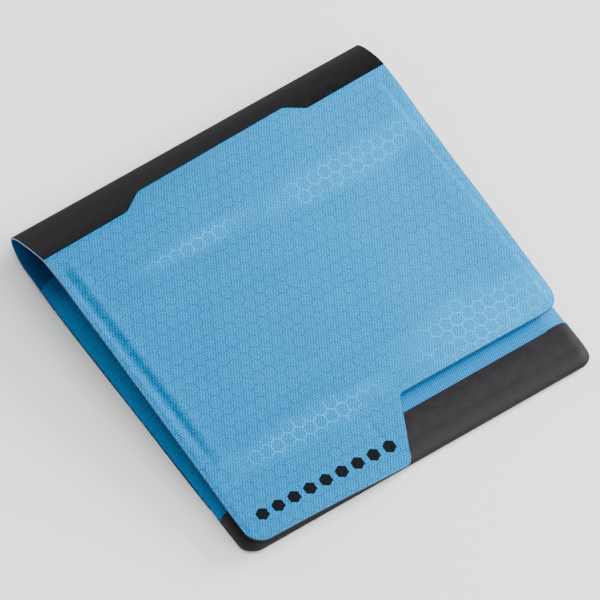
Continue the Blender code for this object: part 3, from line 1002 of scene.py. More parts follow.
@dataclass
class SheetForm:
    """Form of the one bent sheet: lower half, fold and cover.

    A place on the sheet is (x, s): x along the fold, and s the way along the
    cloth from the crest, below zero round the fold and under it, above zero on the
    cover. The two ends differ, because the loop stands higher at the left end.

    Attributes:
        left: Left side of the sheet, in metres.
        right: Right side of the sheet.
        fold_y: Y of the fold's front.
        shift: How far the cover's free edge lies to the right.
        lower_shift: How far the lower half's free edge lies to the right.
        droop: How far the middle of the free edge hangs down.
    """

    left: float
    right: float
    fold_y: float
    shift: float
    lower_shift: float
    droop: float = 1.0 * MM

    # (depth behind the fold's front, height) in millimetres at the left and right
    # ends: the underside, the round fold, the crest, and the cover to its free edge
    STATIONS = (
        ((97.0, 0.50), (97.0, 0.50)),
        ((89.0, 0.45), (89.0, 0.45)),
        ((85.4, 0.42), (85.4, 0.42)),
        ((82.5, 0.05), (82.5, 0.05)),
        ((52.0, 0.00), (52.0, 0.00)),
        ((22.5, 0.00), (22.5, 0.00)),
        ((18.0, 0.30), (18.0, 0.25)),
        ((12.4, 1.05), (12.4, 0.90)),
        ((8.2, 1.50), (8.2, 1.35)),
        ((5.2, 1.80), (5.2, 1.65)),
        ((3.0, 2.70), (3.0, 2.45)),
        ((1.4, 4.10), (1.4, 3.80)),
        ((0.35, 5.70), (0.30, 5.60)),
        ((0.05, 7.30), (0.0, 7.35)),
        ((1.0, 9.15), (0.7, 9.35)),
        ((3.9, 11.45), (3.0, 11.75)),
        ((8.2, 14.00), (6.7, 13.95)),
        ((12.3, 16.15), (10.2, 15.35)),
        ((14.2, 16.90), (12.0, 15.75)),
        ((16.4, 17.20), (14.1, 15.80)),
        ((19.3, 17.05), (17.0, 15.60)),
        ((24.0, 16.40), (21.8, 14.95)),
        ((34.0, 15.00), (32.2, 13.60)),
        ((54.0, 12.25), (52.8, 10.85)),
        ((76.0, 9.15), (75.6, 7.50)),
        ((99.0, 6.05), (99.3, 4.40)),
    )
    FOLD_SPLITS = (10, 13, 16)
    BAND_STATION = 18
    CREST_STATION = 19

    def __post_init__(self) -> None:
        """Work out the way along the cloth at each station."""
        ends = np.array(self.STATIONS) * MM
        middle = ends.mean(axis=1)
        steps = np.linalg.norm(np.diff(middle, axis=0), axis=1)
        self.along = np.concatenate([[0.0], np.cumsum(steps)])
        self.along -= self.along[self.CREST_STATION]
        self.ends = ends
        self.end = float(self.along[-1])
        self.tangents = np.stack([self.slopes(ends[:, side]) for side in (0, 1)], axis=1)

    def slopes(self, points: np.ndarray) -> np.ndarray:
        """Direction of a smooth curve at each of its points.

        Args:
            points: One (depth, height) for each station.

        Returns:
            Change of depth and height for each metre along the cloth.
        """
        gaps = np.diff(self.along)
        chords = np.diff(points, axis=0) / gaps[:, None]
        inner = (chords[:-1] * gaps[1:, None] + chords[1:] * gaps[:-1, None]) / (
            gaps[:-1] + gaps[1:]
        )[:, None]
        return np.vstack([chords[:1], inner, chords[-1:]])

    def profile(self, side: int, s: np.ndarray) -> np.ndarray:
        """(depth, height) of one end of the sheet at places along the cloth.

        Args:
            side: 0 for the left end, 1 for the right.
            s: Places along the cloth.

        Returns:
            Depths and heights on the last axis.
        """
        index = np.clip(np.searchsorted(self.along, s, side="right") - 1, 0, len(self.along) - 2)
        gap = self.along[index + 1] - self.along[index]
        t = ((s - self.along[index]) / gap)[..., None]
        gap = gap[..., None]
        first, second = self.ends[index, side], self.ends[index + 1, side]
        leave, meet = self.tangents[index, side], self.tangents[index + 1, side]
        return (
            (2 * t**3 - 3 * t**2 + 1) * first
            + (t**3 - 2 * t**2 + t) * gap * leave
            + (3 * t**2 - 2 * t**3) * second
            + (t**3 - t**2) * gap * meet
        )

    def station(self, index: int) -> Vector:
        """Point on the middle of the sheet at a station."""
        depth, height = self.ends[index].mean(axis=0)
        return Vector((0.0, self.fold_y - depth, height))

    def relief(self, x: np.ndarray, s: np.ndarray) -> np.ndarray:
        """Height of the cover's embossed relief over the smooth sheet.

        Args:
            x: Places along the fold, before the cover's shift.
            s: Places along the cloth.

        Returns:
            Heights along the outward normal, in metres.
        """
        back = s / MM
        from_left = (x - self.left) / MM
        from_right = (self.right - x) / MM
        on_cover = smooth(back / 6.0)
        in_unit = on_cover * (1.0 - smooth((back - 66.5) / 2.5))
        groove = 1.9 + 1.8 * np.clip(back / 64.0, 0.0, 1.0)
        left_seam = -0.5 * ridge(from_left, groove, 1.1) + 0.25 * ridge(from_left, groove + 2.2, 1.2)
        left_seam = left_seam * (1.0 - 0.8 * smooth((back - 50.0) / 14.0))
        crease = 3.4 - 1.6 * smooth(back / 50.0)
        right_seam = 0.5 * smooth((from_right - crease) / 0.7) - 0.3 * smooth((from_right - 5.0) / 7.0)
        edge_drop = -0.25 * (1.0 - smooth(from_left / 1.6)) - 0.3 * (1.0 - smooth(from_right / 1.5))
        pocket = 0.2 * smooth((from_left - 3.0) / 2.2)
        waves = 0.22 * np.sin(back / 3.1 + 0.02 * from_left) * smooth((back - 2.0) / 6.0)
        waves = waves * (0.45 + 0.55 * np.sin(from_left / 19.0 + 0.4 + back / 11.0))
        slow = 0.24 * np.sin(from_left / 15.0 + 0.6) * np.sin(back / 17.0 + 0.5)
        hem = -0.3 * ridge(back, 66.2, 0.9) * smooth((from_left - 2.5) / 2.0)
        corner = 0.42 * ridge(back, 64.2, 1.2) * ridge(from_left, 3.6, 1.5)
        dimple = -0.3 * ridge(from_left - 0.10 * back, 32.6, 0.5) * ridge(back, 74.0, 2.6)
        unit = in_unit * (left_seam + right_seam + pocket) + on_cover * (waves * 0.5 + slow + hem)
        return (unit + corner + dimple * on_cover + edge_drop * on_cover) * MM

    def smooth_point(self, x: np.ndarray, s: np.ndarray) -> np.ndarray:
        """Points on the sheet without its relief.

        Args:
            x: Places along the fold.
            s: Places along the cloth.

        Returns:
            World points on the last axis.
        """
        share = smooth((x - self.left) / (self.right - self.left)) * 0.5
        share = share + 0.5 * (x - self.left) / (self.right - self.left)
        left_end, right_end = self.profile(0, s), self.profile(1, s)
        flat = left_end + (right_end - left_end) * share[..., None]
        over = np.clip(s / self.end, 0.0, 1.2)
        nose = self.along[self.FOLD_SPLITS[0]]
        under = np.clip((s - nose) / (self.along[0] - nose), 0.0, 1.2)
        hang = smooth((s - 0.064) / 0.020) * ridge(x, -0.002, 0.022)
        drawn_in = smooth(s / 0.025) * (x - self.left) / (self.right - self.left)
        return np.stack(
            [
                x + self.shift * over + self.lower_shift * under - 0.5 * MM * drawn_in,
                self.fold_y - flat[..., 0] - 0.4 * self.droop * hang,
                flat[..., 1] - self.droop * hang,
            ],
            axis=-1,
        )

    def point(self, x: np.ndarray, s: np.ndarray, out: np.ndarray | float) -> np.ndarray:
        """Points at a height over the sheet's outer face.

        Args:
            x: Places along the fold.
            s: Places along the cloth.
            out: Height outwards along the normal, in metres.

        Returns:
            World points on the last axis.
        """
        nudge = 0.05 * MM
        base = self.smooth_point(x, s)
        across = self.smooth_point(x + nudge, s) - self.smooth_point(x - nudge, s)
        along = self.smooth_point(x, s + nudge) - self.smooth_point(x, s - nudge)
        normal = np.cross(across, along)
        normal = -normal / np.linalg.norm(normal, axis=-1, keepdims=True)
        height = out + self.relief(x, s)
        return base + normal * np.asarray(height)[..., None]


@dataclass
class LowerForm:
    """Form of the layers that lie in the lower half, seen from above.

    A place is (x, d): x along the fold and d the depth behind the fold's front.
    The layers are bonded together at the sides, and stand apart in the middle.

    Attributes:
        left: Left side.
        right: Right side.
        fold_y: Y of the fold's front.
        shift: How far the free edge lies to the right.
        depth: Depth of the free edge.
        bonded: Height of the bonded side edges.
        soft_edge: Width over which the layers close to their sides.
    """

    left: float
    right: float
    fold_y: float
    shift: float
    depth: float = 98.2 * MM
    bonded: float = 0.80 * MM
    soft_edge: float = 6.0 * MM

    def height(self, x: np.ndarray, d: np.ndarray, middle: np.ndarray | float) -> np.ndarray:
        """Height of a layer that stands at middle away from the sides.

        Args:
            x: Places along the fold.
            d: Depths behind the fold's front.
            middle: Height away from the sides.

        Returns:
            Heights.
        """
        side = np.minimum(x - self.left, self.right - x)
        rise = np.sqrt(smooth(side / self.soft_edge))
        bonded = self.bonded + 0.6 * MM * smooth((0.021 - d) / 0.007)
        return bonded + (middle - bonded) * rise

    def point(
        self, x: np.ndarray, d: np.ndarray, middle: np.ndarray | float
    ) -> np.ndarray:
        """World points of a layer."""
        return np.stack([self.askew(x, d), self.fold_y - d, self.height(x, d, middle)], axis=-1)

    def askew(self, x: np.ndarray, d: np.ndarray) -> np.ndarray:
        """Places along the fold after the lower half's shift."""
        return x + self.shift * d / self.depth


# ---------------------------------------------------------------- sheets as meshes


@dataclass
class Cut:
    """Outline of a sheet: where it starts and ends at each place across it.

    Attributes:
        across: Places across the sheet, rising.
        start: Where the sheet starts at each place.
        end: Where it ends at each place.
    """

    across: np.ndarray
    start: np.ndarray
    end: np.ndarray

    @classmethod
    def between(
        cls, low: Sequence[tuple[float, float]], high: Sequence[tuple[float, float]], step: float
    ) -> Cut:
        """Outline between a low and a high boundary.

        Args:
            low: Corners (x, place) of the boundary where the sheet starts.
            high: Corners of the boundary where it ends.
            step: Largest distance between places across.

        Returns:
            The outline.
        """
        low_line, high_line = np.array(low), np.array(high)
        left, right = high_line[0, 0], high_line[-1, 0]
        count = int(math.ceil((right - left) / step))
        places = np.concatenate(
            [np.linspace(left, right, count + 1), low_line[:, 0], high_line[:, 0]]
        )
        places = np.unique(np.round(places[(places >= left) & (places <= right)], 7))
        keep = np.concatenate([[True], np.diff(places) > 0.02 * MM])
        keep[-1] = True
        places = places[keep]
        return cls(
            places,
            np.interp(places, low_line[:, 0], low_line[:, 1]),
            np.interp(places, high_line[:, 0], high_line[:, 1]),
        )


def rounded_line(
    corners: Sequence[tuple[float, float, float]], steps: int = 8
) -> list[tuple[float, float]]:
    """Open line through corners, each inner one turned with an arc.

    Args:
        corners: (x, place, radius) of each corner. The two ends aren't rounded.
        steps: Steps of each arc.

    Returns:
        Points (x, place) of the line.
    """
    line = [corners[0][:2]]
    for before, here, after in zip(corners, corners[1:], corners[2:]):
        centre = Vector(here[:2])
        towards = (Vector(before[:2]) - centre).normalized()
        away = (Vector(after[:2]) - centre).normalized()
        half = towards.angle(away) / 2
        reach = here[2] / math.tan(half)
        first, last = centre + towards * reach, centre + away * reach
        for step in range(steps + 1):
            share = step / steps
            # a rational quadratic curve with this weight is an exact arc
            weight = math.sin(half)
            parts = ((1 - share) ** 2, 2 * share * (1 - share) * weight, share**2)
            point = (first * parts[0] + centre * parts[1] + last * parts[2]) / sum(parts)
            line.append((point.x, point.y))
    line.append(corners[-1][:2])
    return line


@dataclass
class Layers:
    """A thin closed sheet between two faces, with its edge.

    Attributes:
        name: Name of the piece.
        cut: Outline.
        rows: Shares from 0 to 1 at which rows of points lie along the sheet.
        face: Gives the points of the outer face from places across and along.
        back: Gives the points of the inner face.
        finishes: Materials of the outer face, the inner face and the edge.
    """

    name: str
    cut: Cut
    rows: np.ndarray
    face: Callable[[np.ndarray, np.ndarray], np.ndarray]
    back: Callable[[np.ndarray, np.ndarray], np.ndarray]
    finishes: Trio

    def build(self) -> bpy.types.Object:
        """Make the sheet as one closed mesh with a map of the cloth.

        Returns:
            What was made.
        """
        across = np.repeat(self.cut.across[:, None], len(self.rows), axis=1)
        along = self.cut.start[:, None] + (self.cut.end - self.cut.start)[:, None] * self.rows
        columns, rows = across.shape
        points = np.concatenate(
            [self.face(across, along).reshape(-1, 3), self.back(across, along).reshape(-1, 3)]
        )
        grid = np.arange(columns * rows).reshape(columns, rows)
        quads = np.stack([grid[:-1, :-1], grid[1:, :-1], grid[1:, 1:], grid[:-1, 1:]], axis=-1)
        quads = quads.reshape(-1, 4)
        under = quads[:, ::-1] + columns * rows
        ring = np.concatenate([grid[:, 0], grid[-1, 1:], grid[-2::-1, -1], grid[0, -2:0:-1]])
        following = np.roll(ring, -1)
        shift = columns * rows
        edge = np.stack([following, ring, ring + shift, following + shift], axis=-1)
        faces = np.concatenate([quads, under, edge])
        mesh = bpy.data.meshes.new(self.name)
        mesh.from_pydata(points.tolist(), [], faces.tolist())
        kinds = np.repeat([0, 1, 2], [len(quads), len(under), len(edge)])
        for finish in self.finishes:
            mesh.materials.append(finish)
        mesh.polygons.foreach_set("material_index", kinds.astype(np.int32))
        place = np.stack([across.ravel(), along.ravel()], axis=-1) * UV_PER_METRE
        place = np.concatenate([place, place])
        corners = np.zeros(len(mesh.loops), np.int32)
        mesh.loops.foreach_get("vertex_index", corners)
        layer = mesh.uv_layers.new(name="cloth")
        layer.data.foreach_set("uv", place[corners].astype(np.float32).ravel())
        mesh.update()
        data = bmesh.new()
        data.from_mesh(mesh)
        bmesh.ops.recalc_face_normals(data, faces=data.faces)
        data.to_mesh(mesh)
        data.free()
        mesh.shade_smooth()
        mesh.set_sharp_from_angle(angle=math.radians(50))
        made = bpy.data.objects.new(self.name, mesh)
        bpy.context.scene.collection.objects.link(made)
        return made


def even(count: int) -> np.ndarray:
    """Evenly spaced shares from 0 to 1."""
    return np.linspace(0.0, 1.0, count + 1)


@dataclass
class SubAssembly:
    """Part of the wallet that builds and places its own pieces.

    Attributes:
        wardrobe: Finishes of the wallet.
        pieces: Pieces made so far.
    """

    wardrobe: Wardrobe
    pieces: list[bpy.types.Object] = field(default_factory=list)

    def trio(self, face: Material, back: Material, edge: Material) -> Trio:
        """Materials of a sheet's face, back and edge."""
        return tuple(self.wardrobe.get(finish) for finish in (face, back, edge))

    def keep(
        self, piece: bpy.types.Object, slot: str, body: str | None, *nodes: str
    ) -> bpy.types.Object:
        """Attach a piece to its body and hide the CAD nodes that it stands for.

        Args:
            piece: The piece.
            slot: Material slot of the record, not used.
            body: Body that it rides on, or None for one that lies across two and is not attached.
            nodes: CAD nodes that it replaces.

        Returns:
            The same piece.
        """
        if body:
            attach(piece, body)
        if nodes:
            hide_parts(*nodes)
        self.pieces.append(piece)
        log.info("%s: %d faces", piece.name, len(piece.data.polygons))
        return piece

    def dress(self, material: Material, *nodes: str) -> None:
        """Give CAD nodes that stay a finish.

        Args:
            material: The finish.
            nodes: Names of the nodes.
        """
        for name in nodes:
            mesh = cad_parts[name].data
            mesh.materials.clear()
            mesh.materials.append(self.wardrobe.get(material))
            log.info("%s: CAD node, %s", name, material.name)


# ---------------------------------------------------------------- shell and fold band


@dataclass
class Shell(SubAssembly):
    """The blue shell and the black band bonded over its fold.

    Both are single sheets on the real wallet. Here each is cut across at three lines inside the fold,
    into four pieces.

    Attributes:
        form: Form of the sheet.
        thickness: Thickness of the laminate.
        film: Thickness of the band.
        tab_width: Width of the tab at its end.
        tab_root: Width of the tab where it leaves the set-back edge.
        tab_length: How far the tab stands out.
        corner: Radius of the outer corners.
        under_edge: How far the backing film stands out past the weave.
    """

    form: SheetForm = None
    thickness: float = 0.36 * MM
    film: float = 0.16 * MM
    tab_width: float = 42.5 * MM
    tab_root: float = 50.0 * MM
    tab_length: float = 15.5 * MM
    corner: float = 4.5 * MM
    under_edge: float = 0.1 * MM

    # distance between rows of points on the flat parts and round the fold
    FLAT_STEP = 0.6 * MM
    FOLD_STEP = 0.16 * MM
    # stations where the close rows start and end
    FOLD_START = 6
    FOLD_END = 22
    NAMES = ("lower", "bend_low", "bend_front", "cover")
    BODIES = ("back", "spine_low", "spine_front", "spine_top", "cover")
    # stations between which each piece bends
    BENDS = ((8, 10), (10, 13), (13, 15), (17, 20))

    def free_edge(self) -> list[tuple[float, float]]:
        """Outline of the cover's free edge, with its tab, from left to right.

        Returns:
            Points (x, place) of the outline.
        """
        left, right, end = self.form.left, self.form.right, self.form.end
        set_back = end - self.tab_length
        corners = [
            (left, set_back, 0.0),
            (left, end, self.corner),
            (left + self.tab_width, end, 2.5 * MM),
            (left + self.tab_root, set_back, 1.5 * MM),
            (right, set_back, self.corner),
            (right, set_back - 12 * MM, 0.0),
        ]
        return rounded_line(corners)[1:-1]

    def lower_edge(self) -> list[tuple[float, float]]:
        """Outline of the lower half's free edge, with its round corners.

        Returns:
            Points (x, place) of the outline.
        """
        left, right, start = self.form.left, self.form.right, float(self.form.along[0])
        corners = [
            (left, start + 14 * MM, 0.0),
            (left, start, self.corner),
            (right, start, self.corner),
            (right, start + 14 * MM, 0.0),
        ]
        return rounded_line(corners)[1:-1]

    def splits(self) -> list[float]:
        """Places along the cloth where the shell and the band are cut."""
        return [float(self.form.along[index]) for index in self.form.FOLD_SPLITS]

    def rows(self, low: float, high: float) -> np.ndarray:
        """Rows that lie closer together round the fold.

        Args:
            low: Where the piece starts along the cloth.
            high: Where it ends.

        Returns:
            Shares from 0 to 1.
        """
        fold_start = self.form.along[self.FOLD_START]
        fold_end = self.form.along[self.FOLD_END]
        places = [low]
        while places[-1] < high:
            inside = fold_start <= places[-1] <= fold_end
            places.append(places[-1] + (self.FOLD_STEP if inside else self.FLAT_STEP))
        places[-1] = high
        return (np.array(places) - low) / (high - low)

    def bend(self, piece: bpy.types.Object, index: int) -> None:
        """Bake a piece's placement into its mesh."""
        start, end = (self.form.station(i) for i in self.BENDS[index])
        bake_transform(piece)

    def build_shell(self) -> None:
        """Make the four pieces of the shell."""
        left, right = self.form.left, self.form.right
        lines = self.splits()
        ends = [float(self.form.along[0]), *lines, self.form.end]
        bounds = list(zip(ends, ends[1:]))
        replaced = (("back_shell",), ("spine_shell_low",), ("spine_shell_front",),
                    ("spine_shell_top", "cover_shell"))
        for index, (low, high) in enumerate(bounds):
            low_line = [(left, low), (right, low)] if index else self.lower_edge()
            high_line = self.free_edge() if index == 3 else [(left, high), (right, high)]
            cut = Cut.between(low_line, high_line, self.FLAT_STEP)
            centre = (left + right) / 2

            def tucked(x: np.ndarray, s: np.ndarray) -> np.ndarray:
                """Places across, drawn in where the edge film covers the shell."""
                under_film = smooth((self.form.along[3] - s) / (2.0 * MM))
                return x + (centre - x) / (right - left) * 1.0 * MM * under_film

            def face(x: np.ndarray, s: np.ndarray) -> np.ndarray:
                """Outer face."""
                return self.form.point(tucked(x, s), s, 0.0)

            def back(x: np.ndarray, s: np.ndarray) -> np.ndarray:
                """Inner face, a little wider than the outer one."""
                wider = centre + (x - centre) * (1 + 2 * self.under_edge / (right - left))
                longer = s + self.under_edge * smooth(s / (40 * MM))
                return self.form.point(tucked(wider, s), longer, -self.thickness)

            piece = Layers(
                f"shell_{self.NAMES[index]}",
                cut,
                self.rows(low, high),
                face,
                back,
                self.trio(Material.RIPSTOP, Material.SHADED_SHELL_BACK, Material.EDGE),
            ).build()
            self.keep(piece, "ripstop_blue", None, *replaced[index])
            self.bend(piece, index)

    def band_edge(self) -> list[tuple[float, float]]:
        """Upper boundary of the fold band, with the notch that lets the blue through.

        Returns:
            Points (x, place) of the boundary.
        """
        left, right = self.form.left, self.form.right
        width = right - left
        full = float(self.form.along[self.form.BAND_STATION])
        notch = full - 4.6 * MM
        corners = [
            (left, full, 0.0),
            (left + 0.245 * width, full - 0.2 * MM, 2.2 * MM),
            (left + 0.305 * width, notch, 1.6 * MM),
            (left + 0.728 * width, notch, 1.2 * MM),
            (left + 0.772 * width, full - 0.1 * MM, 1.6 * MM),
            (right, full - 0.2 * MM, 0.0),
        ]
        return rounded_line(corners)

    def build_band(self) -> None:
        """Make the four pieces of the fold band."""
        left, right = self.form.left, self.form.right
        lines = self.splits()
        start = float(self.form.along[self.FOLD_START])
        bounds = [(start, lines[0]), (lines[0], lines[1]), (lines[1], lines[2]), (lines[2], None)]
        replaced = ("fold_band_under", "fold_band_low", "fold_band_front", "fold_band_top")
        for index, (low, high) in enumerate(bounds):
            high_line = [(left, high), (right, high)] if high else self.band_edge()
            cut = Cut.between([(left, low), (right, low)], high_line, self.FLAT_STEP)
            piece = Layers(
                f"fold_band_{self.NAMES[index]}_film",
                cut,
                self.rows(low, high or float(self.form.along[self.form.BAND_STATION])),
                lambda x, s: self.form.point(x, s, self.film),
                lambda x, s: self.form.point(x, s, 0.01 * MM),
                self.trio(Material.FOLD_FILM, Material.FOLD_FILM, Material.FOLD_FILM),
            ).build()
            self.keep(piece, "film_black", None, replaced[index])
            self.bend(piece, index)

    def build_print(self) -> None:
        """Print a plain row of small hexagons on the tab."""
        height, count, pitch = 3.3 * MM, 9, 4.3 * MM
        centre_x = self.form.left + 23.3 * MM
        centre_s = self.form.end - 6.0 * MM
        data = bmesh.new()
        layer = data.loops.layers.uv.new("cloth")
        for number in range(count):
            middle = centre_x + (number - (count - 1) / 2) * pitch
            rings = []
            for share in (0.0, 0.35, 0.7, 1.0):
                ring = []
                for turn in range(36):
                    angle = 2 * math.pi * turn / 36
                    sector = (angle + math.pi / 6) % (math.pi / 3) - math.pi / 6
                    reach = share * height / 2 * math.cos(math.pi / 6) / math.cos(sector)
                    ring.append((middle + reach * math.cos(angle), centre_s + reach * math.sin(angle)))
                rings.append(ring if share else ring[:1])
            flat = np.array([place for ring in rings for place in ring])
            points = self.form.point(flat[:, 0], flat[:, 1], 0.02 * MM)
            verts = [data.verts.new(point) for point in points]
            places = {vert: flat[i] for i, vert in enumerate(verts)}
            for turn in range(36):
                after = (turn + 1) % 36
                faces = [data.faces.new((verts[0], verts[1 + after], verts[1 + turn]))]
                for ring in range(2):
                    low = 1 + 36 * ring
                    high = low + 36
                    faces.append(data.faces.new(
                        (verts[low + turn], verts[low + after], verts[high + after], verts[high + turn])
                    ))
                for face in faces:
                    for loop in face.loops:
                        loop[layer].uv = Vector(places[loop.vert]) * UV_PER_METRE
        bmesh.ops.recalc_face_normals(data, faces=data.faces)
        if sum(face.normal.z for face in data.faces) < 0:
            bmesh.ops.reverse_faces(data, faces=data.faces)
        mesh = bpy.data.meshes.new("tab_print")
        data.to_mesh(mesh)
        data.free()
        mesh.materials.append(self.wardrobe.get(Material.INK))
        mesh.shade_smooth()
        piece = bpy.data.objects.new("tab_print", mesh)
        bpy.context.scene.collection.objects.link(piece)
        self.keep(piece, "film_black", "cover")

    def build(self) -> None:
        """Make the shell, the fold band and the print."""
        self.build_shell()
        self.build_band()
        self.build_print()


# ---------------------------------------------------------------- card unit


@dataclass
class CardUnit(SubAssembly):
    """Lining and stepped card pockets under the cover, with their bonded tapes.

    Attributes:
        form: Form of the sheet.
        start: Where the unit starts, from the crest.
        end: Where it ends, from the crest.
        mouths: Where each pocket opens, from the crest.
        sheet: Thickness of the lining.
        corner: Radius of the lining's free corners.
        seam: Width of the seams.
        shell_gap: Depth of the lining under the shell's outer face.
        layer: Distance from one layer to the next.
    """

    form: SheetForm = None
    start: float = 5.5 * MM
    end: float = 65.5 * MM
    corner: float = 4.0 * MM
    mouths: tuple[float, float, float] = (16.5 * MM, 26.0 * MM, 35.5 * MM)
    sheet: float = 0.22 * MM
    seam: float = 2.4 * MM
    shell_gap: float = 0.42 * MM
    layer: float = 0.30 * MM

    def panel(
        self,
        name: str,
        x_range: tuple[float, float],
        v_range: tuple[float, float],
        top: float,
        low: float,
        finish: Material,
        corner: float = 0.0,
    ) -> bpy.types.Object:
        """Flat layer under the cover.

        Args:
            name: Name of the piece.
            x_range: Left and right side.
            v_range: Start and end, from the crest.
            top: Height of its upper face over the shell's outer face.
            low: Height of its lower face.
            finish: Finish of the sheet.
            corner: Radius of its free corners.

        Returns:
            The piece.
        """
        (left, right), (near, far) = x_range, v_range
        free = [(left, far), (right, far)]
        if corner:
            side = far - 2 * corner
            corners = [(left, side, 0.0), (left, far, corner), (right, far, corner), (right, side, 0.0)]
            free = rounded_line(corners)[1:-1]
        cut = Cut.between([(left, near), (right, near)], free, 1.0 * MM)
        rows = even(max(4, int((far - near) / (1.0 * MM))))
        return Layers(
            name,
            cut,
            rows,
            lambda x, s: self.form.point(x, s, top),
            lambda x, s: self.form.point(x, s, low),
            self.trio(finish, finish, Material.TAPE),
        ).build()

    def build(self) -> None:
        """Make the lining, the pockets and the seam tapes."""
        left, right = self.form.left, self.form.right
        top = -self.shell_gap
        lining = self.panel("card_lining_sheet", (left, right), (self.start, self.end),
                            top, top - self.sheet, Material.LINING, self.corner)
        self.keep(lining, "lining_grey", "cover", "card_lining")
        inner = (left + self.seam, right - self.seam)
        deep = top - self.layer
        for place, mouth in zip(("rear", "middle", "front"), self.mouths):
            pocket = self.panel(f"card_pocket_{place}_sheet", inner, (mouth, self.end - self.seam),
                                deep, deep - self.sheet, Material.LINING)
            self.keep(pocket, "lining_grey", "cover", f"card_pocket_{place}")
            deep -= self.layer
        seam_top = top - self.sheet
        inset = 0.3 * MM
        sides = (("left", left + inset, inner[0]), ("right", inner[1], right - inset))
        for side, low_x, high_x in sides:
            tape = self.panel(f"card_tape_{side}", (low_x, high_x), (self.start, self.end - self.corner),
                              seam_top, deep, Material.TAPE)
            self.keep(tape, "seam_tape", "cover", f"card_seam_tape_{side}")
        hem = self.panel("card_tape_bottom", inner, (self.end - self.seam, self.end),
                         seam_top, deep, Material.TAPE)
        self.keep(hem, "seam_tape", "cover", "card_seam_tape_bottom")


# ---------------------------------------------------------------- lower half


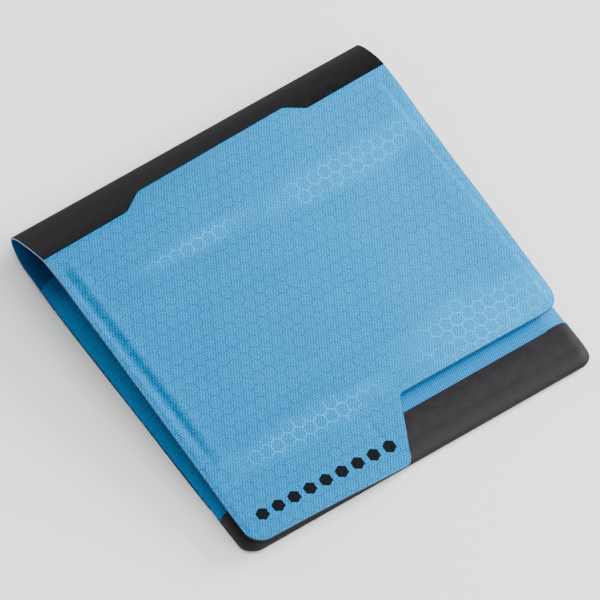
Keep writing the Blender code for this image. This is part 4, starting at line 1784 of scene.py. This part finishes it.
@dataclass
class LowerHalf(SubAssembly):
    """Note sheet, coin pocket and black edge band of the lower half.

    Attributes:
        form: Form of the layers.
        depth: Depth of the lower half.
        note_start: Depth at which the note sheet starts.
        coin_start: Depth at which the coin pocket's top panel starts.
        note_height: Height of the note sheet's face.
        band_start: Depth at which the edge band starts on top.
        band_height: Height of the edge band.
        corner: Radius of the free edge's corners.
        zip_depth: Depth of the zip.
        zip_half: Half of the width across both zip tapes.
        zip_reach: Half of the length of the zip's opening.
        note_cloth: Thickness of the note sheet.
        panel_cloth: Thickness of the coin pocket's panels.
        tuck: How far the sheets reach under the edge band.
        sheets: The note sheet and the coin pocket's panels, once made.
        side_tapes: The note pocket's side tapes, once made.
    """

    form: LowerForm = None
    depth: float = 98.2 * MM
    note_start: float = 10.5 * MM
    coin_start: float = 15.2 * MM
    note_height: float = 2.75 * MM
    band_start: float = 86.6 * MM
    band_height: float = 3.6 * MM
    corner: float = 3.9 * MM
    zip_depth: float = 27.0 * MM
    zip_half: float = 5.2 * MM
    zip_reach: float = 43.4 * MM
    note_cloth: float = 0.30 * MM
    panel_cloth: float = 0.28 * MM
    tuck: float = 2.0 * MM
    sheets: list[bpy.types.Object] = field(default_factory=list)
    side_tapes: list[bpy.types.Object] = field(default_factory=list)

    def layer(
        self,
        name: str,
        d_range: tuple[float, float],
        height: Callable[[np.ndarray], np.ndarray],
        thickness: float,
        finish: Material,
        inset: float = 0.0,
        closed: tuple[float, float] | None = None,
    ) -> bpy.types.Object:
        """Sheet across the lower half.

        Args:
            name: Name of the piece.
            d_range: Depths at which it starts and ends.
            height: Gives the height of its face in the middle from a depth.
            thickness: Thickness of the sheet.
            finish: Finish of the sheet.
            inset: Distance of its sides from the wallet's sides.
            closed: Depths at which it starts and ends beyond the zip's ends.

        Returns:
            The piece.
        """
        left, right = self.form.left + inset, self.form.right - inset
        bounds = []
        for inner, outer in zip(d_range, closed or d_range):
            turn = self.zip_reach
            bounds.append([(left, outer), (-turn - 0.4 * MM, outer), (-turn, inner),
                           (turn, inner), (turn + 0.4 * MM, outer), (right, outer)])
        cut = Cut.between(bounds[0], bounds[1], 0.8 * MM)
        rows = even(max(4, int((d_range[1] - d_range[0]) / (0.7 * MM))))
        return Layers(
            name,
            cut,
            rows,
            lambda x, d: self.form.point(x, d, height(d)),
            lambda x, d: self.form.point(x, d, height(d)) - np.array([0.0, 0.0, thickness]),
            self.trio(finish, finish, Material.EDGE),
        ).build()

    def build_sheets(self) -> None:
        """Make the note sheet and the coin pocket's two panels."""
        end = self.band_start + self.tuck

        def note_height(d: np.ndarray) -> np.ndarray:
            """Height of the note sheet, which is drawn down at its free start."""
            lift = smooth((d - self.note_start + 2 * MM) / (16 * MM))
            return self.note_height * (0.55 + 0.45 * lift) + 0.0 * d

        def panel_height(d: np.ndarray) -> np.ndarray:
            """Height of the coin pocket's panels, highest at the zip.

            Args:
                d: Depths behind the fold's front.

            Returns:
                Heights.
            """
            rise = smooth((d - self.coin_start) / (5 * MM))
            fall = 1.0 - 0.55 * smooth((d - self.zip_depth - 6 * MM) / (40 * MM))
            return note_height(d) + (0.35 + 1.15 * rise * fall) * MM

        note = self.layer("note_pocket_cloth", (self.note_start, end), note_height, self.note_cloth,
                          Material.RIBBED)
        self.keep(note, "ribbed_blue", "back", "note_pocket_sheet")
        zip_start = self.zip_depth - self.zip_half
        zip_end = self.zip_depth + self.zip_half
        top = self.layer("coin_pocket_top_cloth", (self.coin_start, zip_start + 0.5 * MM),
                         panel_height, self.panel_cloth, Material.RIBBED, 0.1 * MM,
                         (self.coin_start, self.zip_depth))
        self.keep(top, "ribbed_blue", "back", "coin_pocket_top")
        front = self.layer("coin_pocket_front_cloth", (zip_end - 0.5 * MM, end),
                           panel_height, self.panel_cloth, Material.RIBBED, 0.1 * MM,
                           (self.zip_depth + 0.04 * MM, end))
        self.keep(front, "ribbed_blue", "back", "coin_pocket_front")
        self.sheets = [note, top, front]

    def declare(self, zip_tapes: list[bpy.types.Object]) -> None:
        """Args:
            zip_tapes: The tapes of the coin pocket's zip, not used.
        """

    def build_side_tapes(self) -> None:
        """Make the tapes that bond the note pocket's sides."""
        near, far = 21.0 * MM, self.band_start - self.tuck
        for side, left, right in (
            ("left", self.form.left + 0.1 * MM, self.form.left + 2.4 * MM),
            ("right", self.form.right - 2.4 * MM, self.form.right - 0.1 * MM),
        ):
            cut = Cut.between([(left, near), (right, near)], [(left, far), (right, far)], 0.5 * MM)
            low = 0.38 * MM

            def top(x: np.ndarray, d: np.ndarray) -> np.ndarray:
                """Upper face, just under the note sheet."""
                return self.form.point(x, d, 1.6 * MM) - np.array([0.0, 0.0, 0.34 * MM])

            def bottom(x: np.ndarray, d: np.ndarray) -> np.ndarray:
                """Lower face, on the shell."""
                return np.stack(
                    [self.form.askew(x, d), self.form.fold_y - d, np.full_like(x, low)], axis=-1
                )

            finishes = self.trio(Material.TAPE, Material.TAPE, Material.TAPE)
            tape = Layers(f"note_tape_{side}", cut, even(40), top, bottom, finishes).build()
            self.side_tapes.append(self.keep(tape, "seam_tape", "back", f"note_seam_tape_{side}"))

    def band_profile(self, turn: np.ndarray, front: np.ndarray, rise: np.ndarray) -> np.ndarray:
        """Depth and height round the edge band.

        Args:
            turn: 0 at the band's upper start, 1 at the front of its round, 2 at
                its lower start.
            front: Depth of the free edge.
            rise: Share of the full height at this place across.

        Returns:
            Depth and height on the last axis.
        """
        start = self.band_start
        up = turn <= 1.0
        t = np.where(up, turn, 2.0 - turn)
        # the last third of the way turns over the edge
        flat_share = 0.66
        along_flat = np.clip(t / flat_share, 0.0, 1.0)
        angle = np.clip((t - flat_share) / (1.0 - flat_share), 0.0, 1.0) * math.pi / 2
        roll = np.minimum(4.6 * MM, (front - start) * 0.6)
        shoulder = front - roll
        begin = np.where(up, start, start - 1.5 * MM)
        depth = np.where(
            t < flat_share,
            begin + (shoulder - begin) * along_flat,
            shoulder + roll * np.sin(angle),
        )
        middle = 1.25 * MM * rise + 0.25 * MM * (1 - rise)
        top = self.band_height * rise + 0.85 * MM * (1 - rise)
        swell = 0.25 * MM * rise * np.sin(np.clip(along_flat, 0, 1) * math.pi) * (t < flat_share)
        high = np.where(
            t < flat_share,
            top + swell - 0.25 * MM * rise * along_flat,
            middle + (top - 0.25 * MM * rise - middle) * np.cos(angle),
        )
        low = np.where(t < flat_share, 0.0, middle - middle * np.cos(angle))
        return np.stack([depth, np.where(up, high, low)], axis=-1)

    def build_band(self) -> None:
        """Make the film that wraps the free edge, with round corners."""
        left, right = self.form.left, self.form.right
        corners = [
            (left, self.band_start, 0.0),
            (left, self.depth, self.corner),
            (right, self.depth, self.corner),
            (right, self.band_start, 0.0),
        ]
        front = np.array(rounded_line(corners, 12)[1:-1])
        cut = Cut.between([(left, 0.0), (right, 0.0)], [(left, 2.0), (right, 2.0)], 0.8 * MM)
        extra = np.concatenate([cut.across, front[:, 0]])
        places = np.unique(np.round(extra, 6))
        cut = Cut(places, np.zeros_like(places), np.full_like(places, 2.0))

        def face(out: float) -> Callable[[np.ndarray, np.ndarray], np.ndarray]:
            """Points of the band's face at a height over it.

            Args:
                out: Height over the face.

            Returns:
                Function that gives the points.
            """

            def points(x: np.ndarray, turn: np.ndarray) -> np.ndarray:
                """Points of the face from places across and round the band.

                Args:
                    x: Places along the fold.
                    turn: Way round the band, from 0 to 2.

                Returns:
                    World points on the last axis.
                """
                edge = np.interp(x, front[:, 0], front[:, 1])
                side = np.minimum(x - left, right - x)
                inward = np.clip(1.0 - side / (3.2 * MM), 0.0, 1.0)
                rise = np.sqrt(1.0 - inward**2)
                here = self.band_profile(turn, edge, rise)
                nudge = 0.004
                after = self.band_profile(np.minimum(turn + nudge, 2.0), edge, rise)
                before = self.band_profile(np.maximum(turn - nudge, 0.0), edge, rise)
                way = after - before
                way = way / np.maximum(np.linalg.norm(way, axis=-1, keepdims=True), 1e-9)
                moved = here + np.stack([-way[..., 1], way[..., 0]], axis=-1) * out
                across = self.form.askew(x, moved[..., 0])
                return np.stack([across, self.form.fold_y - moved[..., 0], moved[..., 1]], axis=-1)

            return points

        piece = Layers("edge_band_film", cut, even(96), face(0.0), face(-0.2 * MM),
                       self.trio(Material.LIT_EDGE_FILM, Material.LIT_EDGE_FILM, Material.LIT_EDGE_FILM)).build()
        layer = piece.data.uv_layers["cloth"].data
        for loop in piece.data.loops:
            place = piece.data.vertices[loop.vertex_index].co
            layer[loop.index].uv = (place.x * UV_PER_METRE, (place.y + place.z) * UV_PER_METRE)
        self.keep(piece, "film_black", "back", "edge_band")

    def build(self) -> None:
        """Make every sheet of the lower half."""
        self.build_sheets()
        self.build_side_tapes()
        self.build_band()


# ---------------------------------------------------------------- zip


@dataclass
class CoinZip(SubAssembly):
    """Zip of the coin pocket: tapes, moulded teeth, stops, slider and puller.

    Attributes:
        tooth_pitch: Distance between teeth of one row.
        tooth_length: Length of a tooth across the zip.
        tooth_width: Width of a tooth along the zip.
        tooth_height: Height of a tooth.
        tapes: The woven tapes, once made.
    """

    tooth_pitch: float = 1.25 * MM
    tooth_length: float = 1.15 * MM
    tooth_width: float = 0.62 * MM
    tooth_height: float = 0.95 * MM
    tapes: list[bpy.types.Object] = field(default_factory=list)

    def build_tapes(self) -> None:
        """Make the two woven tapes in the place of their CAD solids."""
        for side in ("rear", "front"):
            low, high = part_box(f"zip_tape_{side}")
            cut = Cut.between([(low.x, low.y), (high.x, low.y)], [(low.x, high.y), (high.x, high.y)],
                              1.0 * MM)
            sag = 0.08 * MM

            def top(x: np.ndarray, y: np.ndarray) -> np.ndarray:
                """Upper face, a little uneven."""
                return np.stack([x, y, high.z + sag * np.sin(x / (5 * MM))], axis=-1)

            def bottom(x: np.ndarray, y: np.ndarray) -> np.ndarray:
                """Lower face."""
                return top(x, y) - np.array([0.0, 0.0, high.z - low.z])

            finishes = self.trio(Material.ZIP_TAPE, Material.ZIP_TAPE, Material.ZIP_TAPE)
            tape = Layers(f"zip_tape_{side}_weave", cut, even(8), top, bottom, finishes).build()
            self.tapes.append(self.keep(tape, "zip_tape", "back", f"zip_tape_{side}"))

    def model_tooth(self, toward: float) -> bpy.types.Object:
        """Model one tooth with a narrow neck and a rounded head.

        Args:
            toward: 1 where the head points to +Y, -1 where it points to -Y.

        Returns:
            The tooth at the origin.
        """
        bpy.ops.object.select_all(action="DESELECT")
        bpy.ops.mesh.primitive_cube_add(size=1.0, location=(0.0, 0.0, 0.0))
        tooth = bpy.context.active_object
        tooth.scale = (self.tooth_width, self.tooth_length, self.tooth_height)
        bpy.ops.object.transform_apply(location=False, rotation=False, scale=True)
        bpy.ops.object.mode_set(mode="EDIT")
        bpy.ops.mesh.select_all(action="SELECT")
        bpy.ops.mesh.bisect(plane_co=(0.0, toward * 0.1 * self.tooth_length, 0.0),
                            plane_no=(0.0, 1.0, 0.0))
        bpy.ops.mesh.select_all(action="SELECT")
        bpy.ops.mesh.bevel(offset=0.12 * self.tooth_width, segments=1)
        bpy.ops.object.mode_set(mode="OBJECT")
        for vertex in tooth.data.vertices:
            share = vertex.co.y * toward / (self.tooth_length / 2)
            narrow = 0.62 if share < 0 else 1.0
            vertex.co.x *= narrow
        bpy.ops.object.shade_smooth_by_angle(angle=math.radians(35))
        return tooth

    def build_teeth(self) -> None:
        """Make each tooth row from copies of one tooth."""
        for side, toward, offset in (("rear", -1.0, 0.0), ("front", 1.0, 0.5)):
            low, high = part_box(f"zip_teeth_{side}")
            tooth = self.model_tooth(toward)
            centre = Vector(((low.x + high.x) / 2, (low.y + high.y) / 2, (low.z + high.z) / 2))
            run = high.x - low.x - self.tooth_width
            count = int(run / self.tooth_pitch)
            first = low.x + self.tooth_width / 2 + offset * self.tooth_pitch
            data = bmesh.new()
            for number in range(count):
                start = len(data.verts)
                data.from_mesh(tooth.data)
                data.verts.ensure_lookup_table()
                shift = Vector((first + number * self.tooth_pitch, centre.y, centre.z))
                bmesh.ops.translate(data, verts=data.verts[start:], vec=shift)
            mesh = bpy.data.meshes.new(f"zip_teeth_{side}_row")
            data.to_mesh(mesh)
            data.free()
            bpy.data.objects.remove(tooth)
            mesh.materials.append(self.wardrobe.get(Material.NYLON))
            row = bpy.data.objects.new(f"zip_teeth_{side}_row", mesh)
            bpy.context.scene.collection.objects.link(row)
            self.keep(row, "zip_teeth", "back", f"zip_teeth_{side}")

    def build(self) -> None:
        """Make the tapes and teeth, and dress the metal parts."""
        self.build_tapes()
        self.build_teeth()
        self.dress(Material.ZINC, "zip_slider", "zip_puller", "zip_bottom_stop", "zip_top_stop")


# ---------------------------------------------------------------- studio


@dataclass
class Studio:
    """White board, soft lights and the camera.

    Attributes:
        wardrobe: Finishes of the wallet.
        azimuth: Camera azimuth in degrees.
        elevation: Camera elevation in degrees.
        roll: Camera roll in degrees.
        distance: Camera distance in metres.
        span: Width of the view at the wallet, in metres.
        aim: Point that the camera looks at.
        offset: How far the view is moved to the right and up.
    """

    wardrobe: Wardrobe
    azimuth: float = -33.2
    elevation: float = 57.8
    roll: float = -0.3
    distance: float = 2.5
    span: float = 0.1373
    aim: tuple[float, float, float] = (0.0, 0.0, 0.008)
    offset: tuple[float, float] = (-1.15 * MM, -2.0 * MM)

    # name, place, side in metres, power in watts
    LIGHTS = (
        ("light_over", (0.3, -0.7, 1.25), 1.4, 36.0),
        ("light_right", (1.35, -0.1, 0.75), 0.8, 44.0),
        ("light_behind", (0.1, 1.6, 0.45), 0.8, 16.0),
    )
    FLOOR_SIZE = 6.0
    FLOOR_LEVEL = -0.2 * MM

    def build_camera(self) -> None:
        """Place the camera and make it the scene's own."""
        around, up = math.radians(self.azimuth), math.radians(self.elevation)
        back = Vector(
            (math.sin(around) * math.cos(up), -math.cos(around) * math.cos(up), math.sin(up))
        )
        data = bpy.data.cameras.new("camera")
        data.sensor_width = 36.0
        data.lens = data.sensor_width * self.distance / self.span
        data.clip_start = 0.1
        data.clip_end = 20.0
        camera = bpy.data.objects.new("camera", data)
        bpy.context.scene.collection.objects.link(camera)
        turn = (-back).to_track_quat("-Z", "Y")
        right = turn @ Vector((1.0, 0.0, 0.0))
        above = turn @ Vector((0.0, 1.0, 0.0))
        aim = Vector(self.aim) + right * self.offset[0] + above * self.offset[1]
        camera.location = aim + back * self.distance
        camera.rotation_mode = "QUATERNION"
        line_of_sight = Vector((0.0, 0.0, 1.0))
        camera.rotation_quaternion = turn @ Quaternion(line_of_sight, math.radians(self.roll))
        bpy.context.scene.camera = camera

    def light(
        self, name: str, place: tuple[float, float, float], size: float, watts: float
    ) -> None:
        """Soft square light that faces the wallet.

        Args:
            name: Name of the light.
            place: Place of the light.
            size: Side of the light in metres.
            watts: Power in watts.
        """
        data = bpy.data.lights.new(name, "AREA")
        data.shape = "SQUARE"
        data.size = size
        data.energy = watts
        lamp = bpy.data.objects.new(name, data)
        bpy.context.scene.collection.objects.link(lamp)
        lamp.location = place
        lamp.rotation_mode = "QUATERNION"
        lamp.rotation_quaternion = (-Vector(place)).to_track_quat("-Z", "Y")

    def build_floor(self) -> None:
        """Lay a plain board under the wallet."""
        bpy.ops.object.select_all(action="DESELECT")
        bpy.ops.mesh.primitive_plane_add(size=self.FLOOR_SIZE, location=(0.0, 0.0, self.FLOOR_LEVEL))
        floor = bpy.context.active_object
        floor.name = "floor"
        floor.data.materials.append(self.wardrobe.get(Material.BOARD))

    def build(self) -> None:
        """Set up the whole studio."""
        self.build_floor()
        for name, place, size, watts in self.LIGHTS:
            self.light(name, place, size, watts)
        world = bpy.data.worlds.new("studio_air")
        world.use_nodes = True
        world.node_tree.nodes["Background"].inputs[0].default_value = (1.0, 1.0, 1.0, 1.0)
        world.node_tree.nodes["Background"].inputs[1].default_value = 0.4
        bpy.context.scene.world = world
        self.build_camera()
        log.info("studio: floor, 3 lights, camera")


def corners(box: tuple[Vector, Vector]) -> list[list[float]]:
    """The two corners of a box as plain lists."""
    return [list(box[0]), list(box[1])]


def main() -> None:
    """Build the wallet's looks and the studio."""
    logging.basicConfig(level=logging.INFO, format="%(name)s %(message)s")
    wardrobe = Wardrobe()
    back_low, back_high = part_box("back_shell")
    fold_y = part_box("fold_band_front")[1].y
    sheet_form = SheetForm(back_low.x, back_high.x, fold_y, COVER_SHIFT, LOWER_SHIFT)
    lower_form = LowerForm(back_low.x, back_high.x, fold_y, LOWER_SHIFT)
    lower_half = LowerHalf(wardrobe, form=lower_form)
    coin_zip = CoinZip(wardrobe)
    assemblies: list[SubAssembly] = [
        Shell(wardrobe, form=sheet_form),
        CardUnit(wardrobe, form=sheet_form),
        lower_half,
        coin_zip,
    ]
    for assembly in assemblies:
        assembly.build()
    lower_half.declare(coin_zip.tapes)
    Studio(wardrobe).build()


if __name__ == "__main__":
    main()
